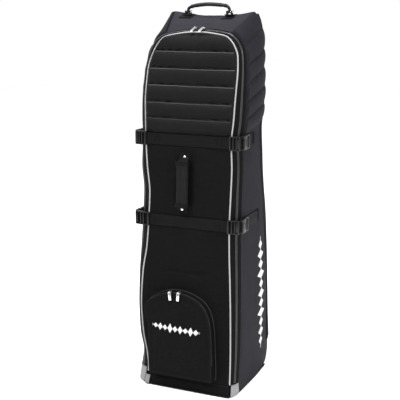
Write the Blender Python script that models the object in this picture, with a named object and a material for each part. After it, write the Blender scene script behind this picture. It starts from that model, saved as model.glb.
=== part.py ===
"""Wheeled golf travel case, standing on its flat base.

Metres, +Z up, +X to the right seen from the front, front face towards -Y.
The origin is on the flat underside. The front flap hinges along its bottom seam.
"""
from math import asin, cos, hypot, pi, radians, sin

import bmesh
import bpy
from mathutils import Matrix, Vector

# Driving dimensions
GAP = 0.0004                # clearance between sewn neighbours
FRONT_Y = -0.165            # front face at the ground
FRONT_LEAN = 0.0455         # the front leans back this much per metre of height
PANEL = 0.005               # padded wall thickness
FLAP_PANEL = 0.006
BAND = 0.037                # zip band, from the silver piping to the body piping
SPLIT = 0.018               # depth of the zip's meeting line in that band
BOTTOM = 0.004              # base panel thickness
HINGE_Z = 0.045             # bottom seam of the flap
CORNER_TOP = (0.060, 0.048)  # reflective corner patches, left and right
CORNER_DEPTH = 0.052
ARC_X = 0.028               # top run of the zip: centre of its arc
ARC_TOP = 1.2095
ARC_RADIUS = 0.40
STRAP_Z = (0.590, 0.862)    # lower and upper compression straps
STRAP_WIDTH = 0.038
WEBBING = 0.002
WHEEL_X = 0.125
WHEEL_Y = 0.196
WHEEL_Z = 0.037
WHEEL_RADIUS = 0.034
WHEEL_WIDTH = 0.024
HEEL_Y = 0.152              # where the base panel meets the moulded heel
HEEL_TOP = 0.088
POCKET_LOW = 0.062
POCKET_DEPTH = 0.034
POCKET_ARC = (-0.020, 0.203, 0.150)  # top run of the pocket zip: centre (x, z), radius
GRIP_X = -0.010
GRIP_LOW = 0.642
GRIP_HIGH = 0.798
GRIP_STANDOFF = 0.010
GRIP_THICK = 0.020
RIVETS = ((-0.016, 0.633), (-0.009, 0.808))  # (x, z), lower and upper
HANDLE_X = (-0.088, 0.063)  # feet of the top carry handle
HANDLE_Y = 0.072
HANDLE_Z = 1.2690           # its pivots
HANDLE_RISE = 0.0315
BUCKLE_OFF = {"left": 0.002, "right": 0.003}  # stand-off of the buckles from the wall
SIDE_ANCHOR = (0.155, 0.092)  # reach of the lower and upper side webbings
MAIN_SLIDERS = (0.012, 0.040)
POCKET_SLIDERS = (-0.040, -0.008)

BLACK = (0.012, 0.012, 0.014)
SIDE_BLACK = (0.020, 0.020, 0.024)
TOP_GREY = (0.045, 0.043, 0.050)
DARK = (0.008, 0.008, 0.009)
SILVER = (0.55, 0.55, 0.56)
CHROME = (0.75, 0.75, 0.76)
PATCH_GREY = (0.32, 0.32, 0.33)
TAN = (0.35, 0.26, 0.16)

# Wall stations from the ground up: front edge (x, z), the same line on the wall
# behind the zip band (x, z), and its place on the back edge (x, z).
LEFT = [
    ((-0.147, 0.0045), (-0.187, 0.0045), (-0.166, 0.0045)),
    ((-0.137, 0.070), (-0.178, 0.070), (-0.165, 0.070)),
    ((-0.143, 0.120), (-0.173, 0.120), (-0.164, 0.120)),
    ((-0.158, 0.190), (-0.187, 0.190), (-0.163, 0.190)),
    ((-0.167, 0.300), (-0.192, 0.300), (-0.163, 0.300)),
    ((-0.162, 0.400), (-0.191, 0.400), (-0.163, 0.400)),
    ((-0.147, 0.500), (-0.185, 0.500), (-0.163, 0.500)),
    ((-0.141, 0.590), (-0.180, 0.590), (-0.163, 0.597)),
    ((-0.138, 0.680), (-0.177, 0.680), (-0.163, 0.690)),
    ((-0.148, 0.770), (-0.185, 0.770), (-0.163, 0.784)),
    ((-0.154, 0.862), (-0.182, 0.862), (-0.161, 0.886)),
    ((-0.156, 0.934), (-0.185, 0.934), (-0.164, 0.975)),
    ((-0.157, 0.986), (-0.184, 0.988), (-0.164, 1.036)),
    ((-0.153, 1.042), (-0.179, 1.046), (-0.163, 1.098)),
    ((-0.146, 1.096), (-0.170, 1.102), (-0.163, 1.156)),
    ((-0.133, 1.134), (-0.158, 1.142), (-0.162, 1.204)),
    ((-0.113, 1.170), (-0.134, 1.184), (-0.158, 1.244)),
    ((-0.090, 1.1917), (-0.102, 1.2012), (-0.145, 1.271)),
]
TOP = [
    ((-0.045, 1.2028), (-0.050, 1.2120), (-0.090, 1.262)),
    ((0.000, 1.2085), (0.000, 1.2170), (-0.035, 1.255)),
    ((0.045, 1.2091), (0.048, 1.2180), (0.025, 1.255)),
    ((0.090, 1.2046), (0.095, 1.2140), (0.085, 1.261)),
]
RIGHT = [
    ((0.166, 0.0045), (0.180, 0.0045), (0.166, 0.0045)),
    ((0.167, 0.062), (0.182, 0.062), (0.165, 0.062)),
    ((0.167, 0.120), (0.184, 0.120), (0.164, 0.120)),
    ((0.166, 0.190), (0.185, 0.190), (0.163, 0.190)),
    ((0.163, 0.300), (0.184, 0.300), (0.163, 0.300)),
    ((0.159, 0.400), (0.182, 0.400), (0.163, 0.400)),
    ((0.154, 0.500), (0.179, 0.500), (0.163, 0.500)),
    ((0.152, 0.590), (0.177, 0.590), (0.163, 0.597)),
    ((0.154, 0.680), (0.177, 0.680), (0.163, 0.690)),
    ((0.156, 0.770), (0.178, 0.770), (0.163, 0.784)),
    ((0.152, 0.862), (0.174, 0.862), (0.161, 0.886)),
    ((0.158, 0.934), (0.181, 0.934), (0.164, 0.975)),
    ((0.161, 0.986), (0.183, 0.988), (0.164, 1.036)),
    ((0.165, 1.042), (0.183, 1.046), (0.163, 1.098)),
    ((0.168, 1.096), (0.182, 1.102), (0.163, 1.156)),
    ((0.167, 1.134), (0.178, 1.144), (0.162, 1.204)),
    ((0.154, 1.170), (0.164, 1.182), (0.158, 1.244)),
    ((0.125, 1.1976), (0.131, 1.2070), (0.145, 1.271)),
]
# Back edge from the ground up: (z, y)
BACK = [(0.0, 0.188), (0.024, 0.206), (0.06, 0.215), (0.18, 0.207), (0.40, 0.188),
        (0.585, 0.163), (0.68, 0.140), (0.77, 0.125), (0.885, 0.118), (0.94, 0.128),
        (1.03, 0.132), (1.11, 0.123), (1.18, 0.120), (1.23, 0.108), (1.28, 0.082)]


def front_y(z):
    return FRONT_Y + FRONT_LEAN * z


def between(table, value):
    """Straight-line reading of a two-column table."""
    for (v0, w0), (v1, w1) in zip(table, table[1:]):
        if value <= v1:
            return w0 + (w1 - w0) * (value - v0) / (v1 - v0)
    return table[-1][1]


def back_y(z):
    return between(BACK, z)


def back_x(side, z):
    return between([(b[1], b[0]) for _, _, b in side], z)


def band_point(station, depth):
    """A point of the zip band, this far behind the front face."""
    (xf, zf), (xs, zs), _ = station
    flare = sin(depth / BAND * pi / 2)
    return Vector((xf + (xs - xf) * flare, front_y(zf) + depth, zf + (zs - zf) * flare))


def wall_point(station, share):
    """A point of the wall, from the zip band (0) to the back edge (1)."""
    (_, zf), (xs, zs), (xb, zb) = station
    curve = share ** 6 if abs(xb) < abs(xs) else share
    belly = 0.002 * sin(pi * share) * (1 if xs > 0 else -1) * min(1.0, abs(xs) / 0.15)
    y0 = front_y(zf) + BAND
    return Vector((xs + (xb - xs) * curve + belly, y0 + (back_y(zb) - y0) * share,
                   zs + (zb - zs) * share))


def level(side, z):
    """The station at a height, read between its neighbours."""
    for low, high in zip(side, side[1:]):
        if z <= high[0][1]:
            t = (z - low[0][1]) / (high[0][1] - low[0][1])
            return tuple(tuple(a + (b - a) * t for a, b in zip(p, q)) for p, q in zip(low, high))
    return side[-1]


# Building blocks

def clear_scene():
    for item in list(bpy.data.objects):
        bpy.data.objects.remove(item, do_unlink=True)


def material(name, colour, roughness, metallic=0.0):
    made = bpy.data.materials.new(name)
    made.use_nodes = True
    shader = made.node_tree.nodes["Principled BSDF"]
    shader.inputs["Base Color"].default_value = (*colour, 1.0)
    shader.inputs["Roughness"].default_value = roughness
    shader.inputs["Metallic"].default_value = metallic
    made.diffuse_color = (*colour, 1.0)
    return made


def add_mesh(name, mesh, finish):
    piece = bpy.data.objects.new(name, mesh)
    bpy.context.collection.objects.link(piece)
    colour, roughness, metallic = (*finish, 0.0)[:3]
    mesh.materials.append(material(name, colour, roughness, metallic))
    return piece


def from_bmesh(name, bm, finish):
    bmesh.ops.recalc_face_normals(bm, faces=bm.faces)
    mesh = bpy.data.meshes.new(name)
    bm.to_mesh(mesh)
    bm.free()
    return add_mesh(name, mesh, finish)


def offset_grid(grid, distance):
    """Every point moved along the local outward normal."""
    rows, cols = len(grid), len(grid[0])
    moved = []
    for i in range(rows):
        row = []
        for j in range(cols):
            along = grid[min(i + 1, rows - 1)][j] - grid[max(i - 1, 0)][j]
            across = grid[i][min(j + 1, cols - 1)] - grid[i][max(j - 1, 0)]
            normal = along.cross(across).normalized()
            row.append(grid[i][j] + normal * distance)
        moved.append(row)
    return moved


def closed_sheet(name, outer_grid, inner_grid, finish):
    """A closed solid between two grids of points."""
    rows, cols = len(outer_grid), len(outer_grid[0])
    bm = bmesh.new()
    outer, inner = [[[bm.verts.new(p) for p in row] for row in grid]
                    for grid in (outer_grid, inner_grid)]
    for i in range(rows - 1):
        for j in range(cols - 1):
            for side in (outer, inner):
                bm.faces.new((side[i][j], side[i][j + 1], side[i + 1][j + 1], side[i + 1][j]))
    rim = [(i, 0) for i in range(rows)] + [(rows - 1, j) for j in range(1, cols)]
    rim += [(i, cols - 1) for i in range(rows - 2, -1, -1)] + [(0, j) for j in range(cols - 2, 0, -1)]
    for (a, b), (c, d) in zip(rim, rim[1:] + rim[:1]):
        bm.faces.new((outer[a][b], outer[c][d], inner[c][d], inner[a][b]))
    bmesh.ops.triangulate(bm, faces=bm.faces)
    return from_bmesh(name, bm, finish)


def sheet(name, grid, outside, inside, finish):
    """A closed sheet on a grid of points, between two offsets of it."""
    return closed_sheet(name, offset_grid(grid, outside), offset_grid(grid, -inside), finish)


def prism(name, outline, depth, finish, holes=()):
    """An outline of points pushed along a vector, with holes of the same kind."""
    bm = bmesh.new()
    edges = []
    for loop in (outline, *holes):
        verts = [bm.verts.new(p) for p in loop]
        edges += [bm.edges.new((a, b)) for a, b in zip(verts, verts[1:] + verts[:1])]
    bmesh.ops.triangle_fill(bm, edges=edges, use_beauty=True)
    made = bmesh.ops.extrude_face_region(bm, geom=bm.faces[:], use_keep_orig=True)
    moved = [g for g in made["geom"] if isinstance(g, bmesh.types.BMVert)]
    bmesh.ops.translate(bm, verts=moved, vec=Vector(depth))
    return from_bmesh(name, bm, finish)


def block(name, low, high, finish, bevel=0.0, place=None):
    """A box between two corners, with eased edges, moved by a matrix."""
    bm = bmesh.new()
    bmesh.ops.create_cube(bm, size=1.0)
    low, high = Vector(low), Vector(high)
    bmesh.ops.scale(bm, vec=high - low, verts=bm.verts)
    bmesh.ops.translate(bm, vec=(low + high) / 2, verts=bm.verts)
    if bevel:
        bmesh.ops.bevel(bm, geom=bm.edges[:], offset=bevel, segments=1, affect="EDGES")
    if place is not None:
        bmesh.ops.transform(bm, matrix=place, verts=bm.verts)
    return from_bmesh(name, bm, finish)


def tube(name, points, radius, finish, resolution=1):
    curve = bpy.data.curves.new(name, "CURVE")
    curve.dimensions = "3D"
    curve.bevel_depth = radius
    curve.bevel_resolution = resolution
    curve.use_fill_caps = True
    spline = curve.splines.new("POLY")
    spline.points.add(len(points) - 1)
    for point, place in zip(spline.points, points):
        point.co = (*place, 1.0)
    piece = bpy.data.objects.new(name, curve)
    bpy.context.collection.objects.link(piece)
    colour, roughness, metallic = (*finish, 0.0)[:3]
    curve.materials.append(material(name, colour, roughness, metallic))
    return piece


def turned(name, profile, centre, finish, steps=28):
    """A ring turned about an X axis from a closed profile of (radius, x) points."""
    bm = bmesh.new()
    rings = []
    for k in range(steps):
        angle = 2 * pi * k / steps
        rings.append([bm.verts.new((x, r * cos(angle), r * sin(angle))) for r, x in profile])
    for ring, following in zip(rings, rings[1:] + rings[:1]):
        for m in range(len(profile)):
            n = (m + 1) % len(profile)
            bm.faces.new((ring[m], ring[n], following[n], following[m]))
    piece = from_bmesh(name, bm, finish)
    piece.location = centre
    piece.data.shade_smooth()
    piece.data.set_sharp_from_angle(angle=radians(35))
    return piece


def rod(name, radius, length, centre, finish, axis="X", steps=16):
    bm = bmesh.new()
    bmesh.ops.create_cone(bm, cap_ends=True, segments=steps, radius1=radius, radius2=radius,
                          depth=length)
    turn = Matrix.Rotation(pi / 2, 4, "Y") if axis == "X" else Matrix.Rotation(pi / 2, 4, "X")
    bmesh.ops.transform(bm, matrix=turn, verts=bm.verts)
    piece = from_bmesh(name, bm, finish)
    piece.location = centre
    piece.data.shade_smooth()
    piece.data.set_sharp_from_angle(angle=radians(35))
    return piece


def combine(piece, tool, operation):
    change = piece.modifiers.new("change", "BOOLEAN")
    change.object = tool
    change.operation = operation
    change.solver = "EXACT"
    tool.hide_render = True
    tool.display_type = "WIRE"


def carve(piece, low, high, place=None, operation="DIFFERENCE"):
    """Cuts a box out of a piece, or joins one to it."""
    combine(piece, block(piece.name + "_tool", low, high, (DARK, 0.5), place=place), operation)


# The shell

LOOP = LEFT + TOP + RIGHT[::-1]
SHARES = (0.013, 0.25, 0.5, 0.75, 0.92, 1.0)


def trimmed(grid, first, last):
    """The grid with its end rows drawn in by these distances."""
    rows = [list(row) for row in grid]
    for end, inner, distance in ((0, 1, first), (-1, -2, last)):
        rows[end] = [p + (q - p).normalized() * distance for p, q in zip(rows[end], rows[inner])]
    return rows


def wall_grid(stations):
    return [[wall_point(station, share) for share in SHARES] for station in stations]


def make_shell():
    """Side and top panels cut from one skin, so that they meet edge to edge."""
    skin = wall_grid(LOOP)
    lining = offset_grid(skin, -PANEL)
    seams = (0, len(LEFT) - 1, len(LEFT) + len(TOP), len(LOOP) - 1)
    panels = (("left_side_panel", (SIDE_BLACK, 0.85)), ("top_panel", (TOP_GREY, 0.8)),
              ("right_side_panel", (SIDE_BLACK, 0.85)))
    for (name, finish), first, last in zip(panels, seams, seams[1:]):
        cut = slice(first, last + 1)
        closed_sheet(name, trimmed(skin[cut], GAP, GAP), trimmed(lining[cut], GAP, GAP), finish)
    make_back()
    make_base()


def make_back():
    corner = 0.009
    rows = []
    for z in (HEEL_TOP + GAP, 0.18, 0.30, 0.40, 0.50, 0.585, 0.68, 0.77, 0.885, 0.94, 1.03, 1.11,
              1.18, 1.225, None):
        rows.append([])
        for share in (0.0, 0.25, 0.5, 0.75, 1.0):
            height = 1.243 + 0.017 * (2 * share - 1) ** 2 if z is None else z
            left, right = back_x(LEFT, height) + corner, back_x(RIGHT, height) - corner
            rows[-1].append(Vector((left + (right - left) * share, back_y(height), height)))
    sheet("back_panel", rows, 0.0, PANEL, (SIDE_BLACK, 0.8))
    board = [[p.lerp(Vector((0, p.y, p.z)), 0.08) for p in row] for row in rows[:-2]]
    sheet("back_stiffener", board, -PANEL - 0.001, PANEL + 0.004, (DARK, 0.6))


def make_base():
    edge = [(-0.184, HEEL_Y), (-0.187, 0.04), (-0.186, -0.09), (-0.177, -0.137), (-0.148, -0.1645),
            (0.150, -0.1645), (0.170, -0.150), (0.179, -0.110), (0.182, 0.04), (0.178, HEEL_Y)]
    prism("bottom_panel", [Vector((x, y, 0.0)) for x, y in edge], (0, 0, BOTTOM), (DARK, 0.7))
    board = [(x * 0.93, min(y, HEEL_Y - 0.006) * 0.95) for x, y in edge]
    prism("base_board", [Vector((x, y, BOTTOM + 0.001)) for x, y in board], (0, 0, 0.004),
          (TAN, 0.6))
    sill = [Vector((x, front_y(z), z)) for x, z in
            ((-0.147, BOTTOM + GAP), (0.165, BOTTOM + GAP), (0.165, HINGE_Z - GAP),
             (-0.140, HINGE_Z - GAP))]
    prism("front_sill", sill, (0, PANEL, 0), (BLACK, 0.85))
    make_heel()
    for name, side, top in (("left", LEFT, CORNER_TOP[0]), ("right", RIGHT, CORNER_TOP[1])):
        make_corner_patch(name, side, top)


def make_corner_patch(name, side, top):
    """Reflective fabric over the lower corner, its rear edge sloping."""
    rows = []
    for share in (0.0, 0.5, 1.0):
        z = BOTTOM + 2 * GAP + (top - BOTTOM - 2 * GAP) * share
        station = level(side, max(z, side[0][0][1]))
        reach = CORNER_DEPTH - 0.010 * share
        row = [band_point(station, depth) for depth in (0.0050, 0.012, 0.024, BAND)]
        row.append(wall_point(station, (reach - BAND) / (back_y(z) - front_y(z) - BAND)))
        rows.append([Vector((p.x, p.y, z)) for p in row])
    if name == "right":
        rows.reverse()
    sheet("corner_patch_" + name, rows, 0.0016, -0.0005, (PATCH_GREY, 0.5, 0.2))


def make_heel():
    """Moulded heel between the base and back panels, notched for the wheels."""
    turn = [(HEEL_Y + GAP, 0.0)]
    for k in range(6):
        angle = k / 5 * pi / 2
        turn.append((0.186 + 0.026 * sin(angle), 0.026 * (1 - cos(angle))))
    turn.append((back_y(HEEL_TOP), HEEL_TOP - GAP))
    inside = [(y - 0.004, z + 0.0002) for y, z in turn[:0:-1]]
    inner = [(HEEL_Y + GAP, 0.004), (0.184, 0.004), (0.200, 0.010), (0.2075, 0.026)]
    inner.append((inside[0][0], HEEL_TOP - GAP))
    outline = [Vector((-0.154, y, z)) for y, z in turn + inner[::-1]]
    heel = prism("heel_shell", outline, (0.308, 0, 0), (DARK, 0.45))
    for side in (-1, 1):
        notch = WHEEL_WIDTH / 2 + 0.0075
        carve(heel, (side * WHEEL_X - notch, HEEL_Y + 0.004, -0.01),
              (side * WHEEL_X + notch, 0.25, WHEEL_Z + WHEEL_RADIUS + 0.008))


def make_wheels():
    inner = WHEEL_WIDTH / 2 + 0.003
    wall = 0.004
    for name, side in (("left", -1), ("right", 1)):
        x = side * WHEEL_X
        low = (x - inner - wall, HEEL_Y + 0.0045, 0.001)
        high = (x + inner + wall, 0.205, WHEEL_Z + WHEEL_RADIUS + 0.0075)
        housing = block("wheel_housing_" + name, low, high, (DARK, 0.5))
        carve(housing, (x - inner, HEEL_Y + 0.0085, -0.01), (x + inner, 0.25, high[2] - wall))
        bore = rod("bore_" + name, 0.0042, 0.06, (x, WHEEL_Y, WHEEL_Z), (DARK, 0.5))
        combine(housing, bore, "DIFFERENCE")
        rod("wheel_axle_" + name, 0.0038, 2 * (inner + wall), (x, WHEEL_Y, WHEEL_Z),
            (CHROME, 0.3, 1.0))
        half = WHEEL_WIDTH / 2
        tyre = [(0.0225, -half * 0.8), (0.029, -half), (0.0325, -half * 0.7),
                (WHEEL_RADIUS, 0.0), (0.0325, half * 0.7), (0.029, half), (0.0225, half * 0.8)]
        turned("wheel_tyre_" + name, tyre, (x, WHEEL_Y, WHEEL_Z), (BLACK, 0.6))
        hub = [(0.0115, -half * 0.9), (0.0220, -half * 0.75), (0.0220, half * 0.75),
               (0.0115, half * 0.9)]
        turned("wheel_hub_" + name, hub, (x, WHEEL_Y, WHEEL_Z), (PATCH_GREY, 0.45))
        bearing = [(0.0043, -half * 0.9), (0.0110, -half * 0.9), (0.0110, half * 0.9),
                   (0.0043, half * 0.9)]
        turned("wheel_bearings_" + name, bearing, (x, WHEEL_Y, WHEEL_Z), (CHROME, 0.3, 1.0), 20)


# The flap and its zip

def zip_stations():
    """Stations the zip passes, from above one corner patch to above the other."""
    def above(side, top):
        return [level(side, top + 0.001)] + [s for s in side if s[0][1] > top + 0.004]

    return above(LEFT, CORNER_TOP[0]) + TOP + above(RIGHT, CORNER_TOP[1])[::-1]


def inset(outline, distance):
    """A closed (x, z) outline drawn in, for points listed clockwise from the front."""
    moved = []
    for k, (x, z) in enumerate(outline):
        (x0, z0), (x1, z1) = outline[k - 1], outline[(k + 1) % len(outline)]
        a, b = hypot(x - x0, z - z0), hypot(x1 - x, z1 - z)
        nx = (z - z0) / a + (z1 - z) / b
        nz = -(x - x0) / a - (x1 - x) / b
        size = hypot(nx, nz)
        mitre = distance / max(0.5, size / 2)
        moved.append((x + nx / size * mitre, z + nz / size * mitre))
    return moved


def make_flap():
    rim = [level(LEFT, HINGE_Z)[0]] + [s[0] for s in LEFT[1:] + TOP + RIGHT[:0:-1]]
    rim.append(level(RIGHT, HINGE_Z)[0])
    drawn = inset(rim, 0.0032)
    drawn[0] = (drawn[0][0], HINGE_Z + GAP)
    drawn[-1] = (drawn[-1][0], HINGE_Z + GAP)
    prism("flap_panel", [Vector((x, front_y(z), z)) for x, z in drawn], (0, FLAP_PANEL, 0),
          (BLACK, 0.85))
    start = [(rim[0][0], HINGE_Z + 0.004)]
    piping = start + rim[1:-1] + [(rim[-1][0], HINGE_Z + 0.004)]
    tube("flap_piping", [(x, front_y(z), z) for x, z in piping], 0.0024, (SILVER, 0.35, 0.3))
    stations = zip_stations()

    def strip(name, first, last, outside, inside, finish):
        grid = [[band_point(s, first), band_point(s, (first + last) / 2), band_point(s, last)]
                for s in stations]
        return sheet(name, grid, outside, inside, finish)

    strip("flap_zip_tape", 0.0034, SPLIT - GAP, 0.0, 0.0016, (DARK, 0.9))
    strip("body_zip_tape", SPLIT + GAP, BAND - 0.0028, 0.0, 0.0016, (DARK, 0.9))
    strip("flap_zip_teeth", SPLIT - 0.0030, SPLIT - GAP, 0.0022, -0.0004, (DARK, 0.4))
    strip("body_zip_teeth", SPLIT + GAP, SPLIT + 0.0030, 0.0022, -0.0004, (DARK, 0.4))
    tube("body_piping", [band_point(s, BAND) for s in stations], 0.0019, (PATCH_GREY, 0.5))
    make_strap_rows()
    make_front_handle()


def make_front_handle():
    y0 = front_y(0.72)
    for name, (x, z) in zip(("lower", "upper"), RIVETS):
        head = (x, front_y(z) - 0.0046, z)
        rivet = rod("handle_rivet_" + name, 0.0055, 0.0022, head, (CHROME, 0.25, 1.0), axis="Y")
        shank = (x, front_y(z) - 0.0024, z)
        combine(rivet, rod("shank_" + name, 0.002, 0.0036, shank, (CHROME, 0.3), axis="Y"), "UNION")
    high, low = GRIP_HIGH - 0.72, GRIP_LOW - 0.72
    lean = Matrix.Translation((GRIP_X, y0, 0.72)) @ Matrix.Rotation(-FRONT_LEAN, 4, "X")
    back = -GRIP_STANDOFF
    block("handle_grip", (-0.0215, back - GRIP_THICK, low), (0.0215, back, high), (BLACK, 0.8),
          bevel=0.005, place=lean)


# Compression straps and buckles

def strap_frame(name, side, z):
    """Matrix at the wall just behind the zip band: X outward, Y back, Z up."""
    corner = band_point(level(side, z), BAND)
    outward = Matrix.Scale(-1, 4, (1, 0, 0)) if name == "left" else Matrix.Identity(4)
    return Matrix.Translation((corner.x, corner.y, z)) @ outward


def make_strap_rows():
    for row, z, anchor in zip(("lower", "upper"), STRAP_Z, SIDE_ANCHOR):
        for name, side in (("left", LEFT), ("right", RIGHT)):
            make_buckle("%s_%s" % (row, name), strap_frame(name, side, z), BUCKLE_OFF[name])
            make_side_webbing("%s_%s" % (row, name), side, z, anchor)
        make_front_webbing(row, z)


def make_buckle(label, place, off):
    """Side-release buckle: the female half rides on the flap, the prongs slide out backwards."""
    low, high = off + 0.003, off + 0.015
    female = block("buckle_female_" + label, (low, -0.031, -0.023), (high, 0.001, 0.023),
                   (BLACK, 0.4), bevel=0.0022, place=place)
    carve(female, (low + 0.0022, -0.026, -0.0205), (high - 0.0022, 0.010, 0.0205), place=place)
    carve(female, (low + 0.0022, -0.020, -0.030), (high - 0.0022, -0.008, 0.030), place=place)
    male = block("buckle_male_" + label, (low + 0.001, 0.0035, -0.023),
                 (high - 0.0015, 0.030, 0.023), (BLACK, 0.4), bevel=0.002, place=place)
    for slot in (0.0110, 0.0190):
        carve(male, (low - 0.01, slot, -0.0195), (high + 0.01, slot + 0.0045, 0.0195), place=place)
    for a, b, tip in ((0.0115, 0.0180, -0.020), (-0.0180, -0.0115, -0.020),
                      (-0.0030, 0.0030, -0.014)):
        carve(male, (low + 0.0032, tip, a), (high - 0.0032, 0.006, b), place=place,
              operation="UNION")


def make_side_webbing(label, side, z, reach):
    rows = []
    for share in (0.0, 0.5, 1.0):
        height = z + STRAP_WIDTH * (share - 0.5)
        station = level(side, height)
        depth = back_y(height) - front_y(height) - BAND
        rows.append([wall_point(station, (0.004 + (reach - 0.004) * k / 5) / depth)
                     for k in range(6)])
        rows[-1] = [Vector((p.x, p.y, height)) for p in rows[-1]]
    if side is RIGHT:
        rows.reverse()
    sheet("side_webbing_" + label, rows, 0.0005 + WEBBING, -0.0005, (BLACK, 0.8))


def make_front_webbing(row, z):
    """Webbing across the flap, bending over the piping to the two female halves."""
    left, right = level(LEFT, z), level(RIGHT, z)
    ends = []
    for station, name, sign in ((left, "left", -1), (right, "right", 1)):
        corner = band_point(station, BAND)
        ends.append([(corner.x + sign * (BUCKLE_OFF[name] + 0.009), 0.003),
                     (station[0][0] + sign * 0.008, -0.0048),
                     (station[0][0] - sign * 0.012, -0.0052)])
    path = ends[0] + [(-0.05, -0.0056), (0.05, -0.0056)] + ends[1][::-1]
    grid = [[Vector((x, front_y(z + h) + y, z + h)) for h in (-STRAP_WIDTH / 2, STRAP_WIDTH / 2)]
            for x, y in path]
    sheet("front_webbing_" + row, grid, WEBBING / 2, WEBBING / 2, (BLACK, 0.8))


# Pocket

def pocket_outline(shrink):
    """The pocket's (x, z) outline, clockwise from the front, from its lower left corner."""
    x, z, radius = POCKET_ARC
    points = [(-0.118, POCKET_LOW), (-0.121, 0.228), (-0.131, 0.258), (-0.1355, 0.286),
              (-0.127, 0.311)]
    for k in range(9):
        angle = radians(-34 + 70 * k / 8)
        points.append((x + radius * sin(angle), z + radius * cos(angle)))
    points += [(0.089, 0.298), (0.101, 0.262), (0.109, 0.181), (0.114, POCKET_LOW)]
    return inset(points, shrink) if shrink else points


def in_front(outline, gap):
    return [Vector((x, front_y(z) - gap, z)) for x, z in outline]


def make_pocket():
    prism("pocket_gusset", in_front(pocket_outline(0.0), GAP), (0, -POCKET_DEPTH, 0),
          (BLACK, 0.85), holes=[in_front(pocket_outline(0.003), GAP)])
    lid = prism("pocket_lid", in_front(pocket_outline(0.001), POCKET_DEPTH + 3 * GAP),
                (0, -0.005, 0), (BLACK, 0.85))
    return lid


# Sliders and pulls

def make_slider(name, x, centre, radius, depth, lift, nose, droop):
    """A zip slider on its arc, and its pull hinged at the slider's nose."""
    angle = asin((x - centre[0]) / radius)
    z = centre[1] + radius * cos(angle)
    place = Matrix.Translation((x, front_y(z) + depth, z)) @ Matrix.Rotation(angle, 4, "Y")
    slider = block(name, (-0.006, -nose, lift), (0.006, 0.0045, lift + 0.0045),
                   (SILVER, 0.3, 0.9), bevel=0.0012, place=place)
    pivot = place @ Matrix.Translation((0, -nose - 0.0012, lift + 0.0035))
    turn = pivot @ Matrix.Rotation(droop, 4, "X")
    block(name.replace("slider", "pull"), (-0.0042, -0.028, -0.0008), (0.0042, 0.0004, 0.0008),
          (SILVER, 0.3, 0.9), bevel=0.0005, place=turn)
    return slider


def make_sliders():
    centre = (ARC_X, ARC_TOP - ARC_RADIUS + 0.0062)
    for name, x in zip(("left", "right"), MAIN_SLIDERS):
        make_slider("main_slider_" + name, x, centre, ARC_RADIUS, SPLIT, 0.0040, 0.0055,
                    radians(22))
    for name, x in zip(("left", "right"), POCKET_SLIDERS):
        make_slider("pocket_slider_" + name, x, POCKET_ARC, POCKET_ARC[2], 0.003 - POCKET_DEPTH,
                    0.0026, 0.0125, radians(90))


# Top handle and inner fittings

def make_top_handle():
    low, high = HANDLE_X
    middle, half = (low + high) / 2, (high - low) / 2
    base = HANDLE_Z - 0.0036

    def hoop(width, top, radius):
        side = [(middle + width - radius + radius * cos(a), top - radius + radius * sin(a))
                for a in (k / 4 * pi / 2 for k in range(5))]
        points = [(middle + width, base)] + side
        return points + [(2 * middle - x, z) for x, z in points[::-1]]

    outer = hoop(half + 0.0046, HANDLE_Z + HANDLE_RISE, 0.020)
    inner = hoop(half - 0.0046, HANDLE_Z + HANDLE_RISE - 0.011, 0.013)
    outline = [Vector((x, HANDLE_Y - 0.0055, z)) for x, z in outer + inner[::-1]]
    handle = prism("top_handle", outline, (0, 0.011, 0), (DARK, 0.5))
    for name, x in zip(("left", "right"), HANDLE_X):
        hole = rod("eye_" + name, 0.0024, 0.014, (x, HANDLE_Y, HANDLE_Z), (DARK, 0.5))
        combine(handle, hole, "DIFFERENCE")
        anchor = block("top_handle_anchor_" + name, (x - 0.010, HANDLE_Y - 0.008, HANDLE_Z - 0.0085),
                       (x + 0.010, HANDLE_Y + 0.008, HANDLE_Z + 0.005), (DARK, 0.5))
        carve(anchor, (x - 0.0055, HANDLE_Y - 0.02, HANDLE_Z - 0.0070),
              (x + 0.0055, HANDLE_Y + 0.02, 1.30))
        pin = rod("pin_" + name, 0.0019, 0.019, (x, HANDLE_Y, HANDLE_Z), (DARK, 0.5))
        combine(anchor, pin, "UNION")


def make_inner_fittings():
    roof = [[p.lerp(Vector((0, p.y, p.z)), 0.06) for p in row[1:5]]
            for row in wall_grid([LEFT[-1]] + TOP + [RIGHT[-1]])]
    sheet("crush_pad", roof, -PANEL - 0.006, PANEL + 0.018, (DARK, 0.9))
    z, half = 0.70, 0.120
    grid = []
    for k in range(7):
        share = k / 6
        bow = 0.004 + 0.010 * sin(pi * share)
        grid.append([Vector((half - 2 * half * share,
                             back_y(z + h) - PANEL - 0.006 - bow, z + h)) for h in (-0.019, 0.019)])
    sheet("inner_bag_strap", grid, WEBBING / 2, WEBBING / 2, (BLACK, 0.8))


clear_scene()
make_shell()
make_wheels()
make_flap()
make_pocket()
make_sliders()
make_top_handle()
make_inner_fittings()
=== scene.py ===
"""The looks of a wheeled golf travel case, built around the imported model."""
from math import asin, cos, pi, radians, sin

import bmesh
import bpy
import numpy as np
from mathutils import Matrix, Vector, noise
from mathutils.bvhtree import BVHTree


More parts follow.
